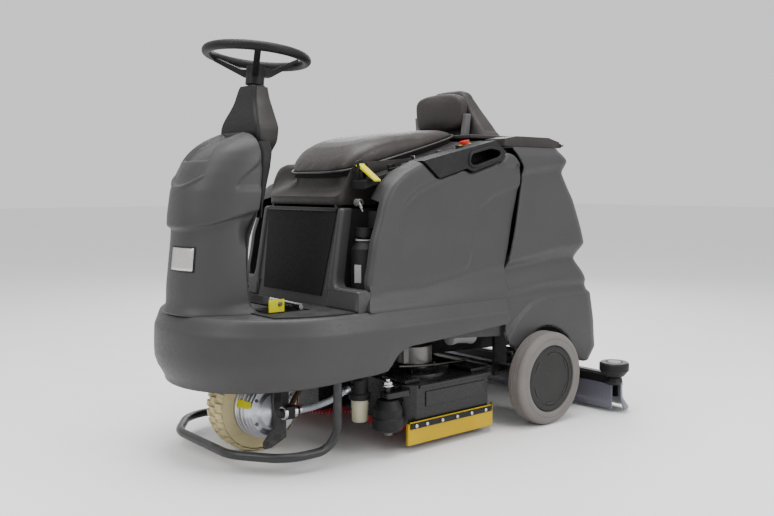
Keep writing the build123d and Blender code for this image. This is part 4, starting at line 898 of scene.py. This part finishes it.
def simulate(obj, pressure, cap, voxel=5.0, frames=20):
    """Swells a closed soft piece with air, keeps each point within cap of its place, and smooths it."""
    bpy.context.view_layer.objects.active = obj
    for other in bpy.context.selected_objects:
        other.select_set(False)
    obj.select_set(True)
    remesh = obj.modifiers.new("remesh", "REMESH")
    remesh.mode = "VOXEL"
    remesh.voxel_size = voxel * MM
    bpy.ops.object.modifier_apply(modifier=remesh.name)
    rest = np.array([v.co for v in obj.data.vertices], float)
    cloth = obj.modifiers.new("cloth", "CLOTH")
    cloth.settings.quality = 5
    cloth.settings.mass = 0.35
    cloth.settings.tension_stiffness = 22
    cloth.settings.compression_stiffness = 22
    cloth.settings.bending_stiffness = 2.0
    cloth.settings.use_pressure = True
    cloth.settings.uniform_pressure_force = pressure
    cloth.settings.effector_weights.gravity = 0.0
    cloth.collision_settings.use_collision = False
    scene = bpy.context.scene
    for number in range(1, frames + 1):
        scene.frame_set(number)
    graph = bpy.context.evaluated_depsgraph_get()
    swollen = np.array([v.co for v in obj.evaluated_get(graph).data.vertices], float)
    scene.frame_set(1)
    obj.modifiers.remove(cloth)
    move = swollen - rest
    size = np.linalg.norm(move, axis=1, keepdims=True)
    move *= np.minimum(1.0, cap * MM / np.maximum(size, 1e-9))
    obj.data.vertices.foreach_set("co", (rest + move).astype(np.float32).ravel())
    obj.data.update()


def soften(obj, rounds):
    """Relaxes a mesh and subdivides it once."""
    made = bmesh.new()
    made.from_mesh(obj.data)
    for _ in range(rounds):
        bmesh.ops.smooth_vert(made, verts=made.verts, factor=0.5, use_axis_x=True, use_axis_y=True,
                              use_axis_z=True)
    made.to_mesh(obj.data)
    made.free()
    obj.data.shade_smooth()
    fine = obj.modifiers.new("fine", "SUBSURF")
    fine.levels = fine.render_levels = 1


def make_cushion():
    rings = []
    outer = seat_plan(4)
    for drop, inset in ((0, 60), (0, 30), (0, 14), (1, 8), (5, 4)):
        rings.append([(x, y, slope_z(x) + 2 + drop) for x, y in seat_plan(inset)])
    for share in (0.12, 0.25, 0.4, 0.55, 0.7, 0.8, 0.88, 0.94, 0.98, 0.995, 1.0):
        ring = []
        scale = (1 - share ** 4.0) ** (1 / 3.2) if share < 1 else 0.0
        for x, y in outer:
            px, py = 26 + (x - 26) * scale, y * scale
            top = along(CUSHION_TOP, px)[0] - 4
            low = slope_z(px) + 7
            dish = 5.0 * math.exp(-((px + 60) / 120.0) ** 2) * math.exp(-(py / 90.0) ** 2)
            ring.append((px, py, low + (top - low - dish) * share))
        rings.append(ring)
    obj = lofted("cushion", rings, "seat", vinyl, "vinyl", caps=(True, False), smooth=0)
    simulate(obj, 4.0, 5.0)
    soften(obj, 4)
    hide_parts("seat_cushion")
    tube("cushion_piping", [(x, y, slope_z(x) + 8) for x, y in seat_plan(1, 96)], 3.2, "seat", piping,
         closed=True)
    lofted("cushion_shadow_gap", [[(x, y, slope_z(x) + z) for x, y in seat_plan(9, 96)] for z in (-9, 6)],
           "seat", painted_shade_black, "warm_plastic", smooth=50)


make_cushion()


PAN_BOTTOM = 724.0


def make_pan():
    columns = 128
    ring_a = seat_plan(16, columns)
    outline = superellipse(-222, 312, 195, 14, columns, corner_front=18)
    rings = [[(x, y, slope_z(x) - 3) for x, y in ring_a]]
    for share, wide in ((0.2, 0.02), (0.4, 0.04), (0.56, 0.08), (0.7, 0.18), (0.82, 0.38), (0.92, 0.68),
                        (1.0, 1.0)):
        ring = []
        for (x, y), (ox, oy) in zip(ring_a, outline):
            front = step(x, 120, 262)
            drop = (10 + 54 * front) * share
            px, py = x + (ox - x) * wide, y + (oy - y) * wide
            ring.append((px, py, slope_z(x) - 3 - drop))
        rings.append(ring)
    heights = [z for _, _, z in rings[-1]]
    for share in (0.05, 1.0):
        rings.append([(x, y, z + (PAN_BOTTOM - z) * share) for (x, y), z in zip(outline, heights)])
    obj = lofted("pan_skin", rings, "seat", warm_plastic, "warm_plastic", caps=(True, False), smooth=60,
                 thick=3.0)
    block("rear_shelf", [(-218, -195, 934), (-218, 195, 934), (-428, 195, 934), (-428, -195, 934)],
          (0, 0, 13.5), "seat", warm_plastic, "warm_plastic", 4.0)
    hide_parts("seat_pan")


make_pan()


BACK_HALF, BACK_RISE, BACK_Z = 114.0, 61.0, 1030.0  # half width, half height, middle


def make_backrest():
    rings = []
    shape = []
    for c, s in circle(96):
        power = 3.6 if s > 0 else 5.5
        z = BACK_Z + BACK_RISE * squarer(s, power)
        shape.append((BACK_HALF * squarer(c, power) * (1.0 - 0.0009 * (BACK_Z - z)), z))
    for depth, inset in ((0, 14), (0.02, 7), (0.1, 3), (0.25, 1), (0.5, 0), (0.75, 1), (0.9, 4), (0.98, 9),
                         (1.0, 16)):
        ring = []
        for y, z in shape:
            fy, fz = y * (1 - inset / BACK_HALF), BACK_Z + (z - BACK_Z) * (1 - inset / BACK_RISE)
            crown = 6 * (1 - (y / BACK_HALF) ** 2) * depth * (1 - ((z - BACK_Z) / BACK_RISE) ** 2)
            ring.append((-288 + 41 * depth + crown, fy, fz))
        rings.append(ring)
    for shrink in (0.8, 0.5, 0.2, 0.0):
        rings.append([(-247 + 5 * (1 - shrink ** 2), y * shrink * 0.88, BACK_Z + (z - BACK_Z) * shrink * 0.74)
                      for y, z in shape])
    obj = lofted("back_pad", rings, "seat", vinyl_dots, "vinyl", caps=(True, False), smooth=0)
    simulate(obj, 3.0, 3.0)
    soften(obj, 3)
    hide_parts("backrest_pad")
    levels = [(948.5, -407, -292, 178), (965, -402, -292, 167), (985, -396, -291, 153),
              (1012, -387, -291, 132),
              (1040, -375, -291, 112), (1064, -363, -292, 98), (1085, -350, -294, 86), (1097, -340, -298, 74),
              (1103, -332, -304, 60), (1106, -326, -312, 40)]
    rings = []
    for z in list(np.arange(948.5, 1100, 4.0)) + [1100, 1103, 1106]:
        rear, front, half = smooth_along(levels, z) if 960 < z < 1092 else along(levels, z)
        ring = []
        for x, y in superellipse(rear, front, half, 3.4, 128, corner_front=6):
            middle_z = step(z, 952, 966) * (1 - step(z, 1075, 1092))
            edge_in = 5.0 * (1 - step(x, front - 26, front - 18)) * middle_z
            ring.append((x, y - math.copysign(edge_in, y) * step(abs(y), 40, 90), z))
        rings.append(ring)
    cowl = lofted("back_cowl_skin", rings, "seat", warm_plastic, "warm_plastic", caps=(False, True),
                  smooth=45)
    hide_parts("backrest_cowl")
    for side, tag in SIDES:
        block("backrest_post_" + tag,
              [(-262, side * 100, 948), (-284, side * 100, 948), (-284, side * 108, 1020),
               (-262, side * 108, 1020)],
              (0, side * 22, 0), "seat", post_grey, "warm_plastic", 3.0)


make_backrest()

# ---------------------------------------------------------------- wheels
REAR_X, REAR_R, FACE_Y, HUB_R, TYRE_WIDE = -390.0, 152.5, 406.0, 109.0, 63.0
RIB = 9.0  # from one tread rib to the next


def make_rear_wheel(side, tag):
    body = "rear_wheel_" + tag
    inner = FACE_Y - TYRE_WIDE
    profile = [(inner, HUB_R), (inner, REAR_R - 12), (inner + 3, REAR_R - 5), (inner + 7, REAR_R - 1)]
    y = inner + 9
    while y < FACE_Y - 20:
        profile += [(y, REAR_R), (y + 5.5, REAR_R), (y + 6.3, REAR_R - 2.2), (y + 8.2, REAR_R - 2.2),
                    (y + RIB, REAR_R)]
        y += RIB
    profile += [(FACE_Y - 12, REAR_R - 0.6), (FACE_Y - 6, REAR_R - 4), (FACE_Y - 2, REAR_R - 10),
                (FACE_Y, REAR_R - 18), (FACE_Y, HUB_R + 22), (FACE_Y - 1.2, HUB_R + 20), (FACE_Y, HUB_R + 18),
                (FACE_Y, HUB_R + 5), (FACE_Y - 2, HUB_R + 1), (FACE_Y - 6, HUB_R), (FACE_Y - 20, HUB_R - 0.2),
                (inner, HUB_R - 0.2)]
    centre = (REAR_X, 0, REAR_R)
    tyre = lathe("tyre_skin_" + tag, [(side * a, r) for a, r in profile], centre, "y", body, tyre_grey,
                 "grey_rubber", turns=128, caps=(False, False), smooth=38)
    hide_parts("rear_tyre_" + tag)
    face = FACE_Y - 3
    hub_profile = [(inner + 8, 30), (inner + 8, HUB_R - 0.5), (face - 6, HUB_R - 0.5), (face - 2, HUB_R - 3),
                   (face, HUB_R - 8), (face, HUB_R - 20), (face - 3, HUB_R - 22), (face - 3.5, 40),
                   (face - 3, 36),
                   (face - 2.6, 0.5)]
    hub = lathe("hub_skin_" + tag, [(side * a, r) for a, r in hub_profile], centre, "y", body,
                hub_plastic, "black_plastic", turns=96, smooth=30)
    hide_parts("rear_hub_" + tag)
    ridges = []
    for turn in (20, 80, 140, 200, 260, 320):
        verts = []
        steps = 10
        for k in range(steps + 1):
            a = math.radians(turn + 26 * k / steps)
            for r, lift in ((HUB_R - 30, -3.2), (HUB_R - 29, -1.0), (HUB_R - 25.5, -1.0),
                            (HUB_R - 24.5, -3.2)):
                verts.append((REAR_X + r * math.cos(a), side * (face + lift), REAR_R + r * math.sin(a)))
        ridges.append(piece("ridge", verts, grid_faces(steps + 1, 4), body, warm_plastic, "black_plastic"))
    joined("hub_ridges_" + tag, ridges, body)


for side, tag in SIDES:
    make_rear_wheel(side, tag)

DRIVE_X, DRIVE_R = 490.0, 140.0


def make_drive_wheel():
    half = 42.0
    profile = [(-half, 95), (-half, DRIVE_R - 22), (-half + 3, DRIVE_R - 12), (-half + 12, DRIVE_R - 8),
               (half - 12, DRIVE_R - 8), (half - 3, DRIVE_R - 12), (half, DRIVE_R - 22), (half, 95)]
    tyre = lathe("drive_tyre_skin", profile, (DRIVE_X, 0, DRIVE_R), "y", "drive_wheel", tyre_cream,
                 "drive_rubber",
                 turns=96, smooth=35)
    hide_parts("drive_tyre")
    verts, faces = [], []
    count = 30
    for k in range(count):
        for row, (y0, y1, shift) in enumerate(((-41, -16, 0.0), (-12, 12, 0.5), (16, 41, 0.0))):
            a0 = 2 * math.pi * (k + shift + 0.10) / count
            a1 = 2 * math.pi * (k + shift + 0.80) / count
            base = len(verts)
            for r, trim in ((DRIVE_R - 9, 0.0), (DRIVE_R - 1.5, 1.2), (DRIVE_R, 2.6)):
                for y, a in ((y0 + trim, a0), (y1 - trim, a0), (y1 - trim, a1), (y0 + trim, a1)):
                    rr = r - (5.0 if row != 1 and abs(y) > 30 and r > DRIVE_R - 5 else 0.0)
                    squeeze = trim / DRIVE_R * (1 if a == a0 else -1)
                    verts.append((DRIVE_X + rr * math.cos(a + squeeze), y,
                                  DRIVE_R + rr * math.sin(a + squeeze)))
            for level in (0, 4):
                faces += [(base + level + i, base + level + (i + 1) % 4, base + level + 4 + (i + 1) % 4,
                           base + level + 4 + i) for i in range(4)]
            faces.append((base + 8, base + 9, base + 10, base + 11))
    piece("drive_tread", verts, faces, "drive_wheel", tyre_cream, "drive_rubber", smooth=35)
    drum = [(36, 94), (52, 93), (54, 90), (60, 90), (61, 88), (72, 88), (73, 90.5), (80, 90.5), (81, 88),
            (94, 87),
            (96, 84), (104, 82), (106, 78), (112, 76), (114, 60), (118, 56), (126, 52), (128, 30), (130, 26),
            (130, 2)]
    shell = lathe("motor_drum", drum, (DRIVE_X, 0, DRIVE_R), "y", "fork", alloy, "cast_alloy", turns=96,
                  caps=(False, True), smooth=32)
    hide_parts("drive_motor")
    bolts = []
    for k in range(6):
        a = math.radians(30 + 60 * k)
        bolts.append(lathe("bolt", [(112, 5), (117, 5), (118, 4), (118, 0.2)],
                           (DRIVE_X + 68 * math.cos(a), 0, DRIVE_R + 68 * math.sin(a)), "y", "fork",
                           dark_steel,
                           "bare_steel", turns=6, smooth=20))
    joined("motor_bolts", bolts, "fork")
    outline = [(-37, -9), (-30, -12), (34, -10), (38, -6), (38, 7), (33, 10), (-28, 12), (-36, 7)]
    lean = math.radians(20)
    corners = [(577 - v * math.sin(lean), 92 + u, 164 + v * math.cos(lean) + 0.07 * u) for u, v in outline]
    block("drum_tab", corners, (2.0, 0, 0.7), "fork", safety_yellow, "yellow_paint", 0.7)


make_drive_wheel()


# ---------------------------------------------------------------- brushes
BRUSH_PLACE = {"left": (5.0, 168.0), "right": (92.0, -164.0)}
BRUSH_EDGE = 149.5  # no bristle reaches further from the middle


def make_brush(tag, seed):
    x0, y0 = BRUSH_PLACE[tag]
    rng = random.Random(seed)
    verts, faces = [], []
    for radius, count in ((92, 54), (104, 62), (116, 70), (127, 78), (136, 86)):
        for k in range(count):
            a = 2 * math.pi * (k + rng.uniform(-0.15, 0.15)) / count
            lean = 13 if radius > 130 else 8
            tip = min(radius + lean + rng.uniform(-2, 2), BRUSH_EDGE)
            base = len(verts)
            for r, z, thick in ((radius, 114, 3.2), ((radius + tip) / 2 + 1, 74, 3.2), (tip, 40.5, 2.6)):
                verts += [(x0 + r * math.cos(a) + thick * c, y0 + r * math.sin(a) + thick * s, z)
                          for c, s in circle(6)]
            for level in (0, 6):
                faces += [(base + level + q, base + level + (q + 1) % 6, base + level + 6 + (q + 1) % 6,
                           base + level + 6 + q) for q in range(6)]
            faces.append(tuple(base + 12 + q for q in range(6)))
    piece("bristles_" + tag, verts, faces, tag + "_brush", bristle_red, "bristle_red", smooth=60)
    disc = lathe("brush_disc_" + tag, [(98, 9), (98, 138), (112, 142), (118, 140), (118, 40), (126, 30),
                                       (126, 9)],
                 (x0, y0, 0), "z", tag + "_brush", bristle_red, "bristle_red", turns=96, caps=(False, False),
                 smooth=35)
    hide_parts("brush_" + tag)


make_brush("left", 3)
make_brush("right", 5)


# ---------------------------------------------------------------- deck details
def make_deck_details(side, tag, shift):
    """Ribs, clamps, screws and nuts of one half of the deck, which stands shift further forward."""
    wall_y = side * 332.0
    parts = []
    for centre, size, edge in (((-22 + shift, wall_y + side * 1.5, 190), (300, 7, 10), 2.0),
                               ((-22 + shift, wall_y + side * 1.2, 150), (250, 5, 46), 3.0),
                               ((130 + shift, side * 250, 202), (58, 110, 12), 4.0),
                               ((-150 + shift, side * 250, 202), (80, 120, 12), 4.0)):
        parts.append(slab("p", centre, size, "deck", black_gloss, "black_plastic", edge))
    x0, y0 = BRUSH_PLACE[tag]
    bell = [(196, 112), (204, 110), (208, 104), (208, 76), (214, 70), (226, 66), (228, 59)]
    parts.append(lathe("p", bell, (x0, y0, 0), "z", "deck", black_gloss, "black_plastic", turns=72,
                       caps=(False, False), smooth=40))
    for turn in (45, 135, 225, 315):
        a = math.radians(turn)
        parts.append(slab("p", (x0 + 92 * math.cos(a), y0 + 92 * math.sin(a), 212), (36, 6, 10), "deck",
                          black_gloss,
                          "black_plastic", 1.5, Matrix.Rotation(a, 3, "Z")))
    joined("deck_ribs_" + tag, parts, "deck")
    screws = [lathe("s", [(0, 5.5), (2.2, 5.5), (3.4, 4.0), (3.4, 0.2)],
                    (x + shift, side * 346.0 if side > 0 else -349.4, 80), "y", "deck", steel, "bare_steel",
                    turns=20)
              for x in (-140, -78, -16, 46, 108, 150)]
    joined("blade_screws_" + tag, screws, "deck")
    strip = [slab("c", (2 + shift, side * 343.8, 80), (338, 4.4, 17), "deck", black_plastic, "black_plastic",
                  1.5),
             slab("c", (-184 + shift, side * 327.5, 81), (52, 4.4, 15), "deck", black_plastic,
                  "black_plastic", 1.5,
                  Matrix.Rotation(math.radians(side * 45), 3, "Z"))]
    joined("blade_clamp_" + tag, strip, "deck")
    slab("blade_edge_line_" + tag, (2 + shift, side * 341.6, 90.5), (340, 3.4, 3), "deck", blade_yellow,
         "blade_yellow", 0.8)
    top = [lathe("n", [(208, 13), (216, 13), (218, 11), (218, 6), (224, 6), (225, 5), (225, 0.2)],
                 (228 + shift, side * 308, 0), "z", "deck", steel, "bare_steel", turns=6, smooth=25),
           lathe("n", [(204, 17), (208, 17)], (228 + shift, side * 308, 0), "z", "deck", steel, "bare_steel",
                 turns=32),
           lathe("n", [(196, 12), (205, 12), (207, 10), (207, 0.2)], (-160 + shift, side * 292, 0), "z",
                 "deck", steel,
                 "bare_steel", turns=6, smooth=25)]
    joined("deck_nuts_" + tag, top, "deck")
    lathe("roller_cap_" + tag, [(61, 13), (76, 20), (76.5, 38), (80, 40)], (228 + shift, side * 308, 0), "z",
          "deck", dark_steel, "bare_steel", turns=40, caps=(True, False))


make_deck_details(1, "left", 0.0)
make_deck_details(-1, "right", 90.0)
tube("lift_rod", [(-190, 214, 214), (-100, 236, 218), (60, 262, 232), (150, 268, 244)], 3.2, "deck",
     dark_steel)
slab("hose_strap_plate", (108, 250, 268), (20, 3, 48), "chassis", post_grey, "bare_steel", 1.2)
lathe("vacuum_cone", [(-84, 20), (-88, 27), (-94, 28), (-120, 24), (-170, 30), (-178, 33), (-182, 33),
                      (-182, 2)],
      (0, 232, 302), "x", "chassis", light_plastic, "bare_steel", turns=48)


# ---------------------------------------------------------------- small fittings
STRIP_RISE, STRIP_RUN, STRIP_FRONT, STRIP_LOW, STRIP_Y = 130.0, 481.0, 276.0, 793.0, 236.0


def on_strip(name, profile, x, look, slot):
    """A turned cap standing square on the sloping control strip."""
    lean = Vector((STRIP_RISE / STRIP_RUN, 0, 1)).normalized()
    turn = Vector((0, 0, 1)).rotation_difference(lean).to_matrix()
    base = Vector((x, STRIP_Y, STRIP_LOW + (STRIP_FRONT - x) * STRIP_RISE / STRIP_RUN))
    rings = [[base + turn @ Vector((r * c, r * s, h)) for c, s in circle(40)] for h, r in profile]
    lofted(name, rings, "chassis", look, slot, smooth=35)


for number, (x, radius, height) in enumerate(((109, 11, 9), (-38, 10, 12), (-106, 8, 6))):
    cap = [(0, radius + 3), (2, radius + 3), (3, radius), (height - 2, radius - 1), (height, radius - 3),
           (height, 0.5)]
    on_strip(f"strip_cap_{number}", cap, x, black_gloss, "black_plastic")
on_strip("stop_collar", [(0, 22), (1.5, 22), (2.5, 20), (2.5, 17)], -150, safety_yellow, "yellow_paint")
POCKET = [(-66, 846), (-92, 837), (-206, 869), (-208, 892), (-160, 899), (-74, 878)]
for side, tag in SIDES:
    path = [(x, side * 336.5, z) for x, z in resample(rounded(POCKET, 8.0, 1), 12.0)]
    tube("pocket_lip_" + tag, path, 4.6, "chassis", black_plastic, closed=True)
    # painted shade: a near-black sheet deep behind each pocket lip stands for the shade inside the pocket
    slab("pocket_painted_shade_" + tag, (-138, side * 282, 868), (150, 2, 70), "chassis", painted_shade_black,
         "black_plastic", 0.5)
lever_hood = [(238, 203, 826), (238, 203, 850), (242, 203, 856), (262, 203, 852), (272, 203, 838),
              (272, 203, 822)]
block("lever_hood", lever_hood, (0, 7, 0), "chassis", black_plastic, "black_plastic", 2.0)
lathe("latch_bolt", [(203.5, 7), (206.5, 7), (207.5, 5.5), (207.5, 0.2)], (525, 0, 458), "y", "latch",
      dark_steel,
      "bare_steel", turns=6, smooth=25)
tube("canister_loop", [(262, 238, 706), (268, 226, 726), (278, 232, 742), (284, 246, 736), (280, 256, 716)],
     3.0,
     "chassis", steel)
lathe("canister_cuff", [(-11, 9), (-9, 11), (9, 11), (11, 9), (11, 6), (-11, 6), (-11, 9)], (279, 238, 732),
      "y",
      "chassis", post_grey, "bare_steel", turns=40, caps=(False, False))
lathe("canister_ring", [(623, 19.5), (623, 27), (627, 27), (627, 19.5)], (262, 246, 0), "z", "canister",
      light_plastic,
      "bare_steel", turns=40, caps=(False, False))
slab("canister_tag", (300.5, 262, 530), (2, 22, 52), "canister", light_plastic, "black_plastic", 0.8,
     Matrix.Rotation(math.radians(24), 3, "Z"))
filler_route = [(488, 196, 166), (462, 178, 186), (426, 172, 214), (380, 176, 238), (330, 184, 262),
                (300, 186, 296)]
tube("filler_hose", filler_route, 7.5, "chassis", hose_brown)
for number, x in enumerate((516, 484)):
    lathe(f"valve_clamp_{number}", [(-5, 17.5), (-4.2, 18.5), (4.2, 18.5), (5, 17.5), (5, 14), (-5, 14),
                                    (-5, 17.5)],
          (x, 203, 152), "x", "chassis", steel, "bare_steel", turns=48, caps=(False, False))
lathe("valve_barrel", [(468, 12), (470, 14), (528, 14), (532, 12), (532, 2)], (0, 203, 152), "x", "chassis",
      black_plastic, "black_plastic", turns=40)
for number, x in enumerate((262, 280)):
    lathe(f"filter_bolt_{number}", [(228, 4.5), (234, 4.5), (235, 3.5), (235, 0.2)], (x, 234, 0), "z",
          "chassis",
          steel, "bare_steel", turns=6, smooth=25)
lathe("filter_collar", [(158, 30.5), (160, 32), (174, 32), (176, 30.5), (176, 25)], (270, 230, 0), "z",
      "chassis",
      black_plastic, "black_plastic", turns=24, caps=(False, False), smooth=20)
END_ROLLER_X, END_ROLLER_Y = -676, 440
for side, tag in SIDES:
    place = (END_ROLLER_X, side * END_ROLLER_Y, 0)
    lathe("end_roller_disc_" + tag, [(176, 24), (178.5, 22), (178.5, 0.2)], place, "z",
          tag + "_end_roller", light_plastic, "black_plastic", turns=48)
    lathe("end_roller_foot_" + tag, [(100, 24), (110, 30), (126, 22), (129, 14), (129, 0.2)], place, "z",
          "squeegee", black_plastic, "black_plastic", turns=40)
    lathe("end_roller_ring_" + tag, [(175.5, 46), (177.5, 44.5), (177.5, 31), (175.5, 29)], place,
          "z", tag + "_end_roller", post_grey, "black_plastic", turns=64, caps=(False, False))
slab("squeegee_rail", (-690, 0, 130.5), (26, 880, 5), "squeegee", post_grey, "bare_steel", 1.5)


def make_squeegee_blades():
    straight, bend = 428.0, 34.0
    plan = [(0.0, y, 0.0) for y in np.linspace(-straight, straight, 120)]
    for a in np.linspace(0.0, 1.45, 14)[1:]:
        turned = (bend * (1 - math.cos(a)), straight + bend * math.sin(a), a)
        plan.append(turned)
        plan.insert(0, (turned[0], -turned[1], -a))
    rows = []
    for out, z in ((2.5, 118), (3, 100), (5, 76), (8, 56), (16, 44), (28, 32), (40, 21), (50, 11)):
        rows.append([(-712 + x - out * math.cos(a) * (1 - 0.25 * abs(a)), y + out * math.sin(a) * 0.28, z
                      + 1.2 * math.sin(y * 0.06) * step(z, 60, 11)) for x, y, a in plan])
    rear = piece("squeegee_blade_rear", *sheet(rows), "squeegee", blade_clear, "blade_clear", smooth=60,
                 thick=4.0,
                 thick_side=0.0)
    slab("squeegee_blade_front", (-664.5, 0, 57), (5, 884, 86), "squeegee", blade_clear, "blade_clear", 1.2)
    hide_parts("squeegee_blades")
    clamp = [(-719 + x - 4 * math.cos(a), y + 1.5 * math.sin(a), 99) for x, y, a in plan[::6]]
    tube("squeegee_clamp_strip", clamp, 3.2, "squeegee", steel)


make_squeegee_blades()

# ---------------------------------------------------------------- floor and light
floor_look = surface("studio_floor", (0.9, 0.9, 0.9), rough=0.6, vary=0.01, bump=0.02, edge=0.0, dust=0.0)
floor_data = bpy.data.meshes.new("floor")
FLOOR_HALF = 30  # metres
corners = [(x * FLOOR_HALF, y * FLOOR_HALF, 0) for x, y in ((-1, -1), (1, -1), (1, 1), (-1, 1))]
floor_data.from_pydata(corners, [], [(0, 1, 2, 3)])
floor_data.materials.append(floor_look)
floor = bpy.data.objects.new("floor", floor_data)
bpy.context.scene.collection.objects.link(floor)

world = bpy.data.worlds.new("studio")
world.use_nodes = True
background = world.node_tree.nodes["Background"]
background.inputs["Color"].default_value = (1.0, 1.0, 1.0, 1.0)
background.inputs["Strength"].default_value = 0.95
bpy.context.scene.world = world


def softbox(name, place, aim, size, power):
    """A large soft lamp: places and sizes are in metres."""
    lamp = bpy.data.lights.new(name, "AREA")
    lamp.shape = "RECTANGLE"
    lamp.size, lamp.size_y = size
    lamp.energy = power
    obj = bpy.data.objects.new(name, lamp)
    bpy.context.scene.collection.objects.link(obj)
    obj.location = place
    obj.rotation_euler = (Vector(aim) - Vector(place)).to_track_quat("-Z", "Y").to_euler()


softbox("overhead", (0.3, 0.2, 3.6), (0, 0, 0.4), (3.2, 2.2), 150)
softbox("front_left", (3.4, 0.2, 2.6), (0.3, 0, 0.6), (1.4, 1.6), 40)
softbox("side_left", (-1.2, 3.6, 2.2), (-0.1, 0, 0.6), (2.2, 1.6), 70)
softbox("rear_right", (-2.6, -2.6, 2.4), (0, 0, 0.6), (2.4, 2.0), 55)

bpy.context.view_layer.update()
